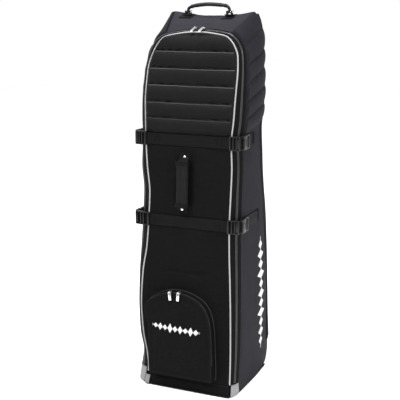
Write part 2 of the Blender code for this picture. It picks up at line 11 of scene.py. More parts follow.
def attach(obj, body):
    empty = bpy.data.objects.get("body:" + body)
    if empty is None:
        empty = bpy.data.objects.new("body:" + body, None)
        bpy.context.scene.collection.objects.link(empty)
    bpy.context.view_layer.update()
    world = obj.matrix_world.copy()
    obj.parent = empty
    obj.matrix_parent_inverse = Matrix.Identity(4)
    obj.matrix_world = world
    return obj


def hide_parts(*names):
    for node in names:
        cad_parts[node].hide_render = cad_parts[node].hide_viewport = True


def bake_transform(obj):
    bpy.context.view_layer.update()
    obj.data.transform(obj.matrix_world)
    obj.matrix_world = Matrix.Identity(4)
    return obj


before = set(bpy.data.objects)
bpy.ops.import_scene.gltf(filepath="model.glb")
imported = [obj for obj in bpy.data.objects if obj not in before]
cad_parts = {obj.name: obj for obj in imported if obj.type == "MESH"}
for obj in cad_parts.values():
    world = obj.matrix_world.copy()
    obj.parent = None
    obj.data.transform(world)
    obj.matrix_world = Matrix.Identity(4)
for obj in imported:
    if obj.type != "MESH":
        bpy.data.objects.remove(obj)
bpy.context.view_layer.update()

# ---------------------------------------------------------------- the shape of the case
# These repeat the design's own dimensions, in metres.
FRONT_Y = -0.165
FRONT_LEAN = 0.0455
BAND = 0.037                # zip band, from the silver piping to the dark piping
SPLIT = 0.018               # where the two rows of teeth meet
HINGE_Z = 0.045
SIGN = {"left": -1, "right": 1}
STRAP_Z = {"lower": 0.590, "upper": 0.862}
STRAP_WIDTH = 0.038
BUCKLE_OFF = {"left": 0.002, "right": 0.003}
SIDE_ANCHOR = {"lower": 0.155, "upper": 0.092}
PATCH_TOP = {"left": 0.060, "right": 0.048}
WHEEL_X, WHEEL_Y, WHEEL_Z = 0.125, 0.196, 0.037
POCKET_LOW = 0.062
POCKET_DEPTH = 0.034
POCKET_ARC = (-0.020, 0.203, 0.150)
GRIP_X, GRIP_Z = -0.010, 0.72
RIVETS = {"lower": (-0.016, 0.633), "upper": (-0.009, 0.808)}
HANDLE_X = (-0.088, 0.063)
HANDLE_Y, HANDLE_Z = 0.072, 1.2690
ARC_X, ARC_TOP, ARC_RADIUS = 0.028, 1.2095, 0.40
MAIN_SLIDERS = (0.012, 0.040)
POCKET_SLIDERS = (-0.040, -0.008)
SEAMS = (0.934, 0.986, 1.042, 1.096, 1.151)   # quilting lines, heights on the front
QUILT_LOW = 0.884
QUILT_HIGH = 1.202
LINER = 0.0045              # from a shell panel's plane to its lining
PADDED_PRESSURE = 4.0

# Stations from the ground up: front edge (x, z), behind the zip band (x, z), back edge (x, z)
LEFT = [
    ((-0.147, 0.0045), (-0.187, 0.0045), (-0.166, 0.0045)),
    ((-0.137, 0.070), (-0.178, 0.070), (-0.165, 0.070)),
    ((-0.143, 0.120), (-0.173, 0.120), (-0.164, 0.120)),
    ((-0.158, 0.190), (-0.187, 0.190), (-0.163, 0.190)),
    ((-0.167, 0.300), (-0.192, 0.300), (-0.163, 0.300)),
    ((-0.162, 0.400), (-0.191, 0.400), (-0.163, 0.400)),
    ((-0.147, 0.500), (-0.185, 0.500), (-0.163, 0.500)),
    ((-0.141, 0.590), (-0.180, 0.590), (-0.163, 0.597)),
    ((-0.138, 0.680), (-0.177, 0.680), (-0.163, 0.690)),
    ((-0.148, 0.770), (-0.185, 0.770), (-0.163, 0.784)),
    ((-0.154, 0.862), (-0.182, 0.862), (-0.161, 0.886)),
    ((-0.156, 0.934), (-0.185, 0.934), (-0.164, 0.975)),
    ((-0.157, 0.986), (-0.184, 0.988), (-0.164, 1.036)),
    ((-0.153, 1.042), (-0.179, 1.046), (-0.163, 1.098)),
    ((-0.146, 1.096), (-0.170, 1.102), (-0.163, 1.156)),
    ((-0.133, 1.134), (-0.158, 1.142), (-0.162, 1.204)),
    ((-0.113, 1.170), (-0.134, 1.184), (-0.158, 1.244)),
    ((-0.090, 1.1917), (-0.102, 1.2012), (-0.145, 1.271)),
]
TOP = [
    ((-0.045, 1.2028), (-0.050, 1.2120), (-0.090, 1.262)),
    ((0.000, 1.2085), (0.000, 1.2170), (-0.035, 1.255)),
    ((0.045, 1.2091), (0.048, 1.2180), (0.025, 1.255)),
    ((0.090, 1.2046), (0.095, 1.2140), (0.085, 1.261)),
]
RIGHT = [
    ((0.166, 0.0045), (0.180, 0.0045), (0.166, 0.0045)),
    ((0.167, 0.062), (0.182, 0.062), (0.165, 0.062)),
    ((0.167, 0.120), (0.184, 0.120), (0.164, 0.120)),
    ((0.166, 0.190), (0.185, 0.190), (0.163, 0.190)),
    ((0.163, 0.300), (0.184, 0.300), (0.163, 0.300)),
    ((0.159, 0.400), (0.182, 0.400), (0.163, 0.400)),
    ((0.154, 0.500), (0.179, 0.500), (0.163, 0.500)),
    ((0.152, 0.590), (0.177, 0.590), (0.163, 0.597)),
    ((0.154, 0.680), (0.177, 0.680), (0.163, 0.690)),
    ((0.156, 0.770), (0.178, 0.770), (0.163, 0.784)),
    ((0.152, 0.862), (0.174, 0.862), (0.161, 0.886)),
    ((0.158, 0.934), (0.181, 0.934), (0.164, 0.975)),
    ((0.161, 0.986), (0.183, 0.988), (0.164, 1.036)),
    ((0.165, 1.042), (0.183, 1.046), (0.163, 1.098)),
    ((0.168, 1.096), (0.182, 1.102), (0.163, 1.156)),
    ((0.167, 1.134), (0.178, 1.144), (0.162, 1.204)),
    ((0.154, 1.170), (0.164, 1.182), (0.158, 1.244)),
    ((0.125, 1.1976), (0.131, 1.2070), (0.145, 1.271)),
]
BACK = [(0.0, 0.188), (0.024, 0.206), (0.06, 0.215), (0.18, 0.207), (0.40, 0.188),
        (0.585, 0.163), (0.68, 0.140), (0.77, 0.125), (0.885, 0.118), (0.94, 0.128),
        (1.03, 0.132), (1.11, 0.123), (1.18, 0.120), (1.23, 0.108), (1.28, 0.082)]
LOOP = np.array([[(*a, *b, *c)] for a, b, c in LEFT + TOP + RIGHT[::-1]], float)[:, 0]
LAST = len(LOOP) - 1
SEAM_LEFT = len(LEFT) - 1
SEAM_RIGHT = LAST - SEAM_LEFT


def spline(xs, ys, at):
    """Smooth reading of a table, without overshoot (monotone cubic)."""
    xs, ys, at = np.asarray(xs, float), np.asarray(ys, float), np.asarray(at, float)
    h = np.diff(xs)
    d = np.diff(ys) / h
    m = np.zeros_like(ys)
    m[0], m[-1] = d[0], d[-1]
    same = d[:-1] * d[1:] > 0
    w1, w2 = 2 * h[1:] + h[:-1], h[1:] + 2 * h[:-1]
    with np.errstate(divide="ignore", invalid="ignore"):
        mean = (w1 + w2) / (w1 / d[:-1] + w2 / d[1:])
    m[1:-1] = np.where(same, mean, 0.0)
    k = np.clip(np.searchsorted(xs, at) - 1, 0, len(h) - 1)
    t = np.clip((at - xs[k]) / h[k], 0, 1)
    return ((1 + 2 * t) * (1 - t) ** 2 * ys[k] + t * (1 - t) ** 2 * h[k] * m[k]
            + t * t * (3 - 2 * t) * ys[k + 1] + t * t * (t - 1) * h[k] * m[k + 1])


def smooth(edge0, edge1, value):
    """0 at the first edge, 1 at the second, with a soft start and end."""
    t = np.clip((np.asarray(value, float) - edge0) / (edge1 - edge0), 0, 1)
    return t * t * (3 - 2 * t)


def bell(value, middle, width, power=2):
    """1 at the middle, falling to almost nothing two widths away."""
    return np.exp(-((np.asarray(value, float) - middle) / width) ** power)


def front_y(z):
    """Where the front's leaning plane is at a height."""
    return FRONT_Y + FRONT_LEAN * np.asarray(z, float)


def back_y(z):
    """Where the back wall's edge is at a height."""
    return spline([b[0] for b in BACK], [b[1] for b in BACK], z)


def station(u):
    """Front x, z, side x, z and back x, z at a loop position (0 to LAST)."""
    index = np.arange(len(LOOP))
    return [spline(index, LOOP[:, k], u) for k in range(6)]


def stack(x, y, z):
    """Points from their coordinates, which may be arrays or single values."""
    return np.stack(np.broadcast_arrays(x, y, z), axis=-1)


def band_point(u, depth):
    """A point of the zip band, this far behind the front face."""
    xf, zf, xs, zs, _, _ = station(u)
    flare = np.sin(np.clip(np.asarray(depth) / BAND, 0, 1) * pi / 2)
    return stack(xf + (xs - xf) * flare, front_y(zf) + depth, zf + (zs - zf) * flare)


def wall_point(u, share):
    """A point of the wall, from the zip band (0) to the back edge (1)."""
    _, zf, xs, zs, xb, zb = station(u)
    inward = np.abs(xb) < np.abs(xs)
    curve = np.where(inward, share ** 6, share)
    belly = 0.002 * np.sin(pi * share) * np.sign(xs) * np.minimum(1.0, np.abs(xs) / 0.15)
    y0 = front_y(zf) + BAND
    return stack(xs + (xb - xs) * curve + belly, y0 + (back_y(zb) - y0) * share,
                 zs + (zb - zs) * share)


def loop_at(side, z):
    """The loop position where the front edge of a side is at a height."""
    half = LOOP[:SEAM_LEFT + 1, 1] if side == "left" else LOOP[SEAM_RIGHT:, 1][::-1]
    fine = np.linspace(0, SEAM_LEFT, 1200)
    heights = spline(np.arange(len(half)), half, fine)
    place = np.interp(z, heights, fine)
    return place if side == "left" else LAST - place


def loop_path(left_z, right_z, count):
    """Loop positions from this height on the left, over the top, to this one on the right."""
    return np.linspace(loop_at("left", left_z), loop_at("right", right_z), count)


def side_at(side, z, depth):
    """A point of the side wall at a height, this far behind the zip band."""
    x, y, _ = wall_point(loop_at(side, z), depth / (back_y(z) - front_y(z) - BAND))
    return np.array([x, y, z])


def normals(grid):
    """Outward normals of a grid that runs up (rows) and back (columns)."""
    along = np.gradient(grid, axis=0)
    across = np.gradient(grid, axis=1)
    n = np.cross(along, across)
    return n / np.maximum(np.linalg.norm(n, axis=-1, keepdims=True), 1e-12)


def ripple(points, scale, seed, octaves=3):
    """Seeded smooth noise over an array of points, from -1 to 1."""
    flat = points.reshape(-1, 3) * scale + np.array([seed * 7.3, seed * 3.1, seed * 5.7])
    values = [noise.fractal(Vector(p), 1.0, 2.0, octaves) for p in flat]
    return np.array(values).reshape(points.shape[:-1])


def run_length(path):
    """How far along a path each of its points is."""
    return np.concatenate([[0], np.cumsum(np.linalg.norm(np.diff(path, axis=0), axis=1))])


def read_at(path, run, at):
    """The points of a path at these distances along it."""
    return np.stack([np.interp(at, run, path[:, k]) for k in range(path.shape[1])], axis=-1)


def resample(points, spacing):
    """Evenly spaced points on a smooth curve through the given ones."""
    points = np.asarray(points, float)
    run = run_length(points)
    dense = np.linspace(0, run[-1], len(points) * 24)
    curve = np.stack([spline(run, points[:, k], dense) for k in range(points.shape[1])], axis=-1)
    length = run_length(curve)
    count = max(3, int(run[-1] / spacing) + 1)
    return read_at(curve, length, np.linspace(0, length[-1], count))


# ---------------------------------------------------------------- materials

class Finish:
    """A node material under construction."""

    def __init__(self, name):
        self.material = bpy.data.materials.new(name)
        self.material.use_nodes = True
        self.nodes = self.material.node_tree.nodes
        self.links = self.material.node_tree.links
        self.shader = self.nodes["Principled BSDF"]
        self.coords = self.nodes.new("ShaderNodeTexCoord").outputs["Object"]

    def set(self, **values):
        for key, value in values.items():
            self.shader.inputs[key.replace("_", " ")].default_value = value
        return self

    def math(self, kind, a, b=0.0):
        node = self.nodes.new("ShaderNodeMath")
        node.operation = kind
        for socket, value in zip(node.inputs, (a, b)):
            if isinstance(value, (int, float)):
                socket.default_value = value
            else:
                self.links.new(value, socket)
        return node.outputs[0]

    def noise(self, scale, detail=3.0, stretch=None):
        node = self.nodes.new("ShaderNodeTexNoise")
        node.inputs["Scale"].default_value = scale
        node.inputs["Detail"].default_value = detail
        source = self.coords
        if stretch:
            mapping = self.nodes.new("ShaderNodeMapping")
            mapping.inputs["Scale"].default_value = stretch
            self.links.new(source, mapping.inputs["Vector"])
            source = mapping.outputs["Vector"]
        self.links.new(source, node.inputs["Vector"])
        return node.outputs["Fac"]

    def weave(self, pitch, across="xy", up="z"):
        """Over-and-under threads: axes named in across and up are summed."""
        split = self.nodes.new("ShaderNodeSeparateXYZ")
        self.links.new(self.coords, split.inputs[0])
        waves = []
        for names in (across, up):
            total = split.outputs[names[0].upper()]
            for name in names[1:]:
                total = self.math("ADD", total, split.outputs[name.upper()])
            waves.append(self.math("SINE", self.math("MULTIPLY", total, 2 * pi / pitch)))
        return self.math("MULTIPLY_ADD", self.math("MULTIPLY", *waves), 0.5)

    def colour(self, factor, dark, light, low=0.3, high=0.7):
        ramp = self.nodes.new("ShaderNodeValToRGB")
        ramp.color_ramp.elements[0].position = low
        ramp.color_ramp.elements[0].color = (*dark, 1)
        ramp.color_ramp.elements[1].position = high
        ramp.color_ramp.elements[1].color = (*light, 1)
        self.links.new(factor, ramp.inputs[0])
        self.links.new(ramp.outputs[0], self.shader.inputs["Base Color"])
        return self

    def rough(self, factor, low, high):
        spread = self.nodes.new("ShaderNodeMapRange")
        spread.inputs["To Min"].default_value = low
        spread.inputs["To Max"].default_value = high
        self.links.new(factor, spread.inputs["Value"])
        self.links.new(spread.outputs[0], self.shader.inputs["Roughness"])
        return self

    def bump(self, height, strength, distance):
        node = self.nodes.new("ShaderNodeBump")
        node.inputs["Strength"].default_value = strength
        node.inputs["Distance"].default_value = distance
        self.links.new(height, node.inputs["Height"])
        self.links.new(node.outputs[0], self.shader.inputs["Normal"])
        return self


def shade(colour, amount):
    return tuple(min(1.0, c * amount) for c in colour)


def cloth(name, colour, pitch=0.0011, across="xy", up="z", rough=(0.62, 0.85), sheen=0.0,
          depth=0.0004, vary=0.25, specular=0.05):
    made = Finish(name)
    threads = made.weave(pitch, across, up)
    fibre = made.noise(900.0, 2.0)
    height = made.math("ADD", threads, made.math("MULTIPLY", fibre, 0.6))
    wear = made.noise(9.0, 5.0)
    tone = made.math("ADD", made.math("MULTIPLY", wear, 0.75), made.math("MULTIPLY", threads, 0.25))
    made.colour(tone, shade(colour, 1 - vary), shade(colour, 1 + vary))
    made.rough(wear, *rough)
    made.bump(height, 0.55, depth)
    made.set(Sheen_Weight=sheen, Sheen_Roughness=0.45, Specular_IOR_Level=specular)
    return made.material


def plastic(name, colour, rough=(0.38, 0.55), grain=700.0, depth=0.00015, specular=0.5):
    made = Finish(name)
    fine, broad = made.noise(grain, 3.0), made.noise(22.0, 4.0)
    made.colour(broad, shade(colour, 0.8), shade(colour, 1.25))
    made.rough(broad, *rough)
    made.bump(fine, 0.5, depth)
    made.set(Specular_IOR_Level=specular)
    return made.material


def metal(name, colour, rough=(0.16, 0.34)):
    made = Finish(name)
    scratch = made.noise(240.0, 4.0, (1.0, 9.0, 1.0))
    made.colour(made.noise(60.0), shade(colour, 0.85), shade(colour, 1.08))
    made.rough(scratch, *rough)
    made.bump(scratch, 0.25, 0.00008)
    made.set(Metallic=1.0)
    return made.material


SIDE = cloth("side_polyester", (0.0066, 0.0061, 0.0086), specular=0.07)
FRONT = cloth("front_polyester", (0.0020, 0.0020, 0.0023))
QUILT = cloth("quilted_polyester", (0.0028, 0.0028, 0.0032), rough=(0.5, 0.62), specular=0.07)
# Light colour of the quilting folds: a painted highlight for the thin light line each fold catches.
FOLD_HIGHLIGHT = cloth("quilted_fold_painted_highlight", (0.050, 0.050, 0.053), rough=(0.4, 0.6), specular=0.12)
ROOF = cloth("roof_polyester", (0.0120, 0.0112, 0.0148), across="x", up="y", specular=0.07)
BACKING = cloth("back_polyester", (0.0105, 0.0102, 0.0122), pitch=0.0016, across="x",
                specular=0.10)
LINING = cloth("lining_taffeta", (0.016, 0.016, 0.018), pitch=0.0008, rough=(0.5, 0.65),
               sheen=0.1)
WEB = cloth("webbing_polypropylene", (0.0026, 0.0026, 0.0029), pitch=0.0017, rough=(0.45, 0.65),
            depth=0.0007)
TAPE = cloth("zip_tape", (0.0018, 0.0018, 0.0020), pitch=0.0009, rough=(0.6, 0.8))
PIPING = cloth("silver_piping", (0.20, 0.20, 0.205), pitch=0.0009, rough=(0.34, 0.50), vary=0.12,
               specular=0.3)
CORD = cloth("dark_piping", (0.0060, 0.0060, 0.0068), pitch=0.0009, vary=0.2)
PATCH = cloth("reflective_patch", (0.13, 0.13, 0.134), pitch=0.0012, rough=(0.35, 0.5), vary=0.14,
              specular=0.3)
GRIP = cloth("grip_mesh", (0.0034, 0.0034, 0.0038), pitch=0.0019, depth=0.0007, specular=0.10)
# Grey welt cord: the cord's own dark colour lightened as a painted highlight along the pocket's foot.
WELT_HIGHLIGHT = cloth("welt_cord_painted_highlight", (0.016, 0.016, 0.0175), pitch=0.0009)
BINDING = cloth("edge_binding", (0.0105, 0.0100, 0.0125))
THREAD = cloth("white_thread", (0.42, 0.42, 0.42), pitch=0.0007, across="xyz", rough=(0.4, 0.6),
               vary=0.06, specular=0.3)
STITCH = cloth("black_thread", (0.007, 0.007, 0.008), pitch=0.0006, across="xyz", vary=0.2)
BUCKLE = plastic("acetal", (0.0038, 0.0038, 0.0042), (0.26, 0.40), specular=0.22)
MOULD = plastic("polypropylene", (0.0030, 0.0030, 0.0034), specular=0.18)
# Grey for the zip coils: their dark plastic lightened with a painted highlight along the zip's
# meeting line.
COIL_HIGHLIGHT = plastic("coil_zip_painted_highlight", (0.022, 0.022, 0.0235), (0.25, 0.4), specular=0.3)
BOARD = plastic("base_board", (0.020, 0.020, 0.021), (0.5, 0.7), specular=0.3)
TYRE = plastic("polyurethane", (0.0050, 0.0050, 0.0055), (0.45, 0.7), 300.0, 0.0003, 0.18)
HUB = plastic("nylon_hub", (0.11, 0.11, 0.115), (0.35, 0.5), specular=0.4)
NICKEL = metal("nickel", (0.60, 0.60, 0.61))
CHROME = metal("chrome", (0.80, 0.80, 0.81), (0.06, 0.18))


# ---------------------------------------------------------------- mesh helpers

def add_object(name, verts, faces, materials, slots=None, rounded=True):
    mesh = bpy.data.meshes.new(name)
    mesh.from_pydata([tuple(v) for v in verts], [], faces)
    mesh.validate()
    for item in materials:
        mesh.materials.append(item)
    if slots is not None:
        mesh.polygons.foreach_set("material_index", slots)
    if rounded:
        mesh.shade_smooth()
    piece = bpy.data.objects.new(name, mesh)
    bpy.context.collection.objects.link(piece)
    return piece


def outward(piece):
    """Turns a closed mesh's faces to point out."""
    bm = bmesh.new()
    bm.from_mesh(piece.data)
    bmesh.ops.recalc_face_normals(bm, faces=bm.faces)
    bm.to_mesh(piece.data)
    bm.free()
    return piece


def grid_solid(name, outer, inner, materials, closed=False):
    """A closed sheet between two grids. The first material is outside, the last inside."""
    rows, cols = outer.shape[:2]
    count, last = rows * cols, cols - 1
    spans = [(i * cols, (i + 1) % rows * cols) for i in range(rows if closed else rows - 1)]
    faces, slots = [], []
    for a, b in spans:
        for j in range(last):
            faces.append((b + j, b + j + 1, a + j + 1, a + j))
            faces.append((count + a + j, count + a + j + 1, count + b + j + 1, count + b + j))
            slots += [0, len(materials) - 1]
    faces += [(count + a, count + b, b, a) for a, b in spans]
    faces += [(a + last, b + last, count + b + last, count + a + last) for a, b in spans]
    if not closed:
        end = (rows - 1) * cols
        faces += [(j, j + 1, count + j + 1, count + j) for j in range(last)]
        faces += [(count + end + j, count + end + j + 1, end + j + 1, end + j)
                  for j in range(last)]
    slots += [0] * (len(faces) - len(slots))
    verts = np.concatenate([outer.reshape(-1, 3), inner.reshape(-1, 3)])
    piece = add_object(name, verts, faces, materials, slots)
    piece.data.set_sharp_from_angle(angle=radians(50))
    return outward(piece)


def thick(grid, outside, inside):
    """The grids that stand this far outside and inside a grid."""
    n = normals(grid)
    return grid + n * outside, grid - n * inside


def ribbon(name, path, across, thickness, finish):
    """Flat webbing along a path. across gives its width direction, at full width."""
    path, across = np.asarray(path, float), np.asarray(across, float)
    if across.ndim == 1:
        across = np.broadcast_to(across, path.shape)
    share = np.linspace(-0.5, 0.5, 9)
    grid = path[:, None] + across[:, None] * share[None, :, None]
    n = normals(grid)
    edge = 1 - 0.45 * (np.abs(share) > 0.49)
    half = thickness / 2 * edge[None, :, None]
    return grid_solid(name, grid + n * half, grid - n * half, [finish, finish])


def sweep(name, path, radii, finish, sides=10, frame_up=(0, 0, 1)):
    """A round cord along a path, with its ends closed."""
    path = np.asarray(path, float)
    radii = np.broadcast_to(np.asarray(radii, float), (len(path),))
    moved = np.linalg.norm(np.diff(path, axis=0), axis=1) > 1e-6
    path, radii = path[np.append(True, moved)], radii[np.append(True, moved)]
    tangent = np.gradient(path, axis=0)
    tangent /= np.linalg.norm(tangent, axis=1, keepdims=True)
    side = np.cross(tangent, np.asarray(frame_up, float))
    weak = np.linalg.norm(side, axis=1) < 0.2
    side[weak] = np.cross(tangent[weak], (0, 1, 0))
    for k in range(1, len(side)):
        side[k] = side[k - 1] - tangent[k] * (side[k - 1] @ tangent[k])
        side[k] /= np.linalg.norm(side[k])
    side[0] /= np.linalg.norm(side[0])
    other = np.cross(tangent, side)
    angles = np.linspace(0, 2 * pi, sides, endpoint=False)
    rings = (path[:, None] + radii[:, None, None]
             * (np.cos(angles)[None, :, None] * side[:, None]
                + np.sin(angles)[None, :, None] * other[:, None]))
    verts = rings.reshape(-1, 3)
    faces = []
    for i in range(len(path) - 1):
        for j in range(sides):
            k = (j + 1) % sides
            faces.append((i * sides + j, i * sides + k, (i + 1) * sides + k, (i + 1) * sides + j))
    faces.append(tuple(range(sides))[::-1])
    faces.append(tuple(range(len(verts) - sides, len(verts))))
    return outward(add_object(name, verts, faces, [finish]))


def dome(name, centre, radius, height, finish):
    """A low round head, such as a rivet's, with a rolled rim, facing the front."""
    profile = [(0.45, 0.93), (0.78, 0.68), (0.97, 0.30), (1.0, 0.0), (0.90, -0.35)]
    steps = 28
    verts = [(0, 0, height)]
    for r, h in profile:
        verts += [(r * radius * cos(2 * pi * k / steps), r * radius * sin(2 * pi * k / steps),
                   h * height) for k in range(steps)]
    verts.append((0, 0, profile[-1][1] * height))
    faces = [(0, 1 + k, 1 + (k + 1) % steps) for k in range(steps)]
    for ring in range(len(profile) - 1):
        a, b = 1 + ring * steps, 1 + (ring + 1) * steps
        faces += [(a + k, b + k, b + (k + 1) % steps, a + (k + 1) % steps) for k in range(steps)]
    last = len(verts) - 1 - steps
    faces += [(len(verts) - 1, last + (k + 1) % steps, last + k) for k in range(steps)]
    turn = Vector((0, -1, 0)).to_track_quat("Z", "Y").to_matrix().to_4x4()
    place = Matrix.Translation(centre) @ turn
    piece = outward(add_object(name, [place @ Vector(v) for v in verts], faces, [finish]))
    piece.data.set_sharp_from_angle(angle=radians(40))
    return piece


def revolve(name, profile, centre, finish):
    """A closed (radius, offset) profile turned about an axle along X."""
    count, steps = len(profile), 72
    verts, faces = [], []
    for k in range(steps):
        a = 2 * pi * k / steps
        verts += [(centre[0] + x, centre[1] + r * cos(a), centre[2] + r * sin(a))
                  for r, x in profile]
    for k in range(steps):
        a, b = k * count, (k + 1) % steps * count
        faces += [(a + j, a + (j + 1) % count, b + (j + 1) % count, b + j) for j in range(count)]
    piece = outward(add_object(name, verts, faces, [finish]))
    piece.data.set_sharp_from_angle(angle=radians(35))
    return piece


class Block:
    """Rounded boxes gathered in one mesh, then given soft edges."""

    def __init__(self):
        self.bm = bmesh.new()

    def box(self, low, high, bevel=0.0008, turn=None):
        low, high = Vector(low), Vector(high)
        verts = bmesh.ops.create_cube(self.bm, size=1.0)["verts"]
        bmesh.ops.scale(self.bm, vec=high - low, verts=verts)
        bmesh.ops.translate(self.bm, vec=(low + high) / 2, verts=verts)
        if turn is not None:
            bmesh.ops.transform(self.bm, matrix=turn, verts=verts)
        if bevel:
            edges = list({e for v in verts for e in v.link_edges})
            bmesh.ops.bevel(self.bm, geom=edges, offset=bevel, segments=2, profile=0.6,
                            affect="EDGES")
        return self

    def pair(self, low, high, bevel, axis=2):
        """A box and its mirror image across 0 on this axis."""
        near, far = list(low), list(high)
        near[axis], far[axis] = -high[axis], -low[axis]
        return self.box(near, far, bevel).box(low, high, bevel)

    def done(self, name, finish, place=None):
        if place is not None:
            bmesh.ops.transform(self.bm, matrix=place, verts=self.bm.verts)
        bmesh.ops.recalc_face_normals(self.bm, faces=self.bm.faces)
        piece = add_object(name, [], [], [finish])
        self.bm.to_mesh(piece.data)
        self.bm.free()
        piece.data.shade_smooth()
        piece.data.set_sharp_from_angle(angle=radians(40))
        return piece


def settle(piece, body, *nodes, slot=None):
    """Rides a piece on a body, and hides the CAD nodes it stands for."""
    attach(piece, body)
    if nodes:
        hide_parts(*nodes)
    return piece


# ---------------------------------------------------------------- padding

def inflate(piece, cap, voxel):
    """Remeshes a form and lets cloth pressure swell it, by no more than the cap."""
    remesh = piece.modifiers.new("remesh", "REMESH")
    remesh.mode = "VOXEL"
    remesh.voxel_size = voxel
    bake(piece)
    rest = np.empty(len(piece.data.vertices) * 3)
    piece.data.vertices.foreach_get("co", rest)
    cloth_mod = piece.modifiers.new("cloth", "CLOTH")
    cloth_mod.settings.use_pressure = True
    cloth_mod.settings.uniform_pressure_force = PADDED_PRESSURE
    cloth_mod.settings.effector_weights.gravity = 0.0
    cloth_mod.settings.tension_stiffness = 12
    cloth_mod.settings.bending_stiffness = 0.6
    for step in range(1, 21):
        bpy.context.scene.frame_set(step)
    bake(piece)
    bpy.context.scene.frame_set(1)
    rest = rest.reshape(-1, 3)
    moved = np.empty(rest.size)
    piece.data.vertices.foreach_get("co", moved)
    shift = moved.reshape(-1, 3) - rest
    size = np.linalg.norm(shift, axis=1, keepdims=True)
    shift *= np.minimum(1.0, cap / np.maximum(size, 1e-9))
    piece.data.vertices.foreach_set("co", (rest + shift).ravel())
    piece.data.update()
    piece.data.shade_smooth()
    return piece


def bake(piece):
    """Replaces the mesh with its evaluated one and drops the modifiers."""
    graph = bpy.context.evaluated_depsgraph_get()
    made = bpy.data.meshes.new_from_object(piece.evaluated_get(graph))
    piece.modifiers.clear()
    piece.data = made
    return piece


# ---------------------------------------------------------------- laying and sewing

def surface(piece):
    """A tree of a piece's faces, for laying things on them."""
    return BVHTree.FromPolygons([v.co.copy() for v in piece.data.vertices],
                                [list(p.vertices) for p in piece.data.polygons])


def drape(tree, points, direction, lift):
    """The points moved along a direction on to a surface, and a little off it.

    A point that misses takes the place of the nearest one in the list that doesn't.
    """
    direction = Vector(direction).normalized()
    spots = np.array(points, float).reshape(-1, 3)
    found = []
    for k, point in enumerate(spots):
        hit, normal, _, _ = tree.ray_cast(Vector(point), direction)
        if hit is not None:
            found.append(k)
            spots[k] = hit - normal * (lift * np.sign(normal.dot(direction)))
    found = np.array(found)
    nearest = np.abs(np.arange(len(spots))[:, None] - found).argmin(axis=1)
    return spots[found[nearest]].reshape(np.shape(points))


def make_stitches(name, body, path, pitch=0.0046):
    """A row of separate stitches lying along a path."""
    run, sides = run_length(path), 5
    verts, faces = [], []
    for start in np.arange(0, run[-1] - pitch, pitch):
        line = read_at(path, run, np.linspace(start, start + pitch * 0.66, 4))
        ahead = line[-1] - line[0]
        size = np.linalg.norm(ahead)
        if size < 1e-5:
            continue
        ahead /= size
        side = np.cross(ahead, (0.31, 0.52, 0.80))
        side /= np.linalg.norm(side)
        other = np.cross(ahead, side)
        first = len(verts)
        for centre, radius in zip(line, (0.000231, 0.00042, 0.00042, 0.000231)):
            verts += [centre + (side * cos(a) + other * sin(a)) * radius
                      for a in np.arange(sides) * 2 * pi / sides]
        for k in range(3):
            for j in range(sides):
                a, b = first + k * sides + j, first + k * sides + (j + 1) % sides
                faces.append((a, b, b + sides, a + sides))
        faces += [tuple(first + j for j in range(sides)),
                  tuple(first + 3 * sides + j for j in range(sides))]
    return settle(outward(add_object(name, verts, faces, [STITCH])), body, slot="webbing")


def bartack(name, body, centre, along, out, length, width=0.0016):
    """A dense zigzag of thread holding webbing down."""
    centre, along, out = Vector(centre), Vector(along).normalized(), Vector(out).normalized()
    side = along.cross(out)
    count = max(8, int(length / 0.0011))
    path = []
    for k in range(count + 1):
        shift = (k / count - 0.5) * length
        wave = (0.5 if k % 2 else -0.5) * width
        path.append(centre + along * shift + side * wave)
    return settle(sweep(name, np.array(path), 0.00038, STITCH, 5, tuple(out)), body,
                  slot="webbing")


# ---------------------------------------------------------------- shell panels

def quilt(z, height):
    """Rise of the padding between the quilting lines, at these front heights."""
    lines = np.array([QUILT_LOW, *SEAMS, QUILT_HIGH])
    z = np.asarray(z, float)
    k = np.clip(np.searchsorted(lines, z) - 1, 0, len(lines) - 2)
    t = np.clip((z - lines[k]) / (lines[k + 1] - lines[k]), 0, 1)
    inside = (z > lines[0]) & (z < lines[-1])
    shape = np.power(np.clip(4 * t * (1 - t), 0, 1), 0.45) * (0.80 + 0.35 * t)
    return np.where(inside, height * shape, 0.0)


def seam_near(z):
    """1 on a quilting line, falling to 0 away from it."""
    distance = np.min([np.abs(np.asarray(z) - s) for s in (*SEAMS, QUILT_LOW)], axis=0)
    return bell(distance, 0, 0.010)


def strap_pinch(z):
    """1 under a strap, where it holds the fabric in, and 0 away from the straps."""
    return np.clip(sum(bell(z, s, 0.026, 4) for s in STRAP_Z.values()), 0, 1)


def wall_parts(u, share, seed):
    """The wall's base grid and how far its outer face stands off it."""
    uu, ss = np.meshgrid(u, share, indexing="ij")
    base = wall_point(uu, ss)
    zf = station(uu)[1]
    edge = smooth(0.0, 0.05, ss) * smooth(1.0, 0.90, ss)
    pads = quilt(zf, 0.0085) * edge
    pucker = ripple(base * np.array([0.3, 1.0, 0.25]), 55.0, seed) * seam_near(zf) * 0.0016
    folds = ripple(base * np.array([1.0, 0.8, 0.35]), 7.0, seed + 1, 2) * 0.0034
    folds += ripple(base * np.array([1.0, 1.0, 0.35]), 26.0, seed + 2, 2) * 0.0006
    pinch = strap_pinch(zf) * smooth(0.85, 0.55, ss)
    calm = smooth(0.0, 0.06, ss) * smooth(1.0, 0.93, ss)
    rise = pads + pucker * edge + folds * calm * (1 - 0.55 * (pads > 0))
    return base, rise * (1 - pinch) - 0.0012 * pinch * calm


def make_side(name, u0, u1, seed):
    u = np.linspace(u0, u1, 250)
    share = np.concatenate([np.linspace(0.010, 0.94, 62), np.linspace(0.952, 1.0, 6)])
    base, rise = wall_parts(u, share, seed)
    outer, inner = thick(base, rise[..., None], LINER)
    return settle(grid_solid("shell_" + name, outer, inner, [SIDE, LINING]), "shell",
                  name + "_side_panel", slot="shell_black")


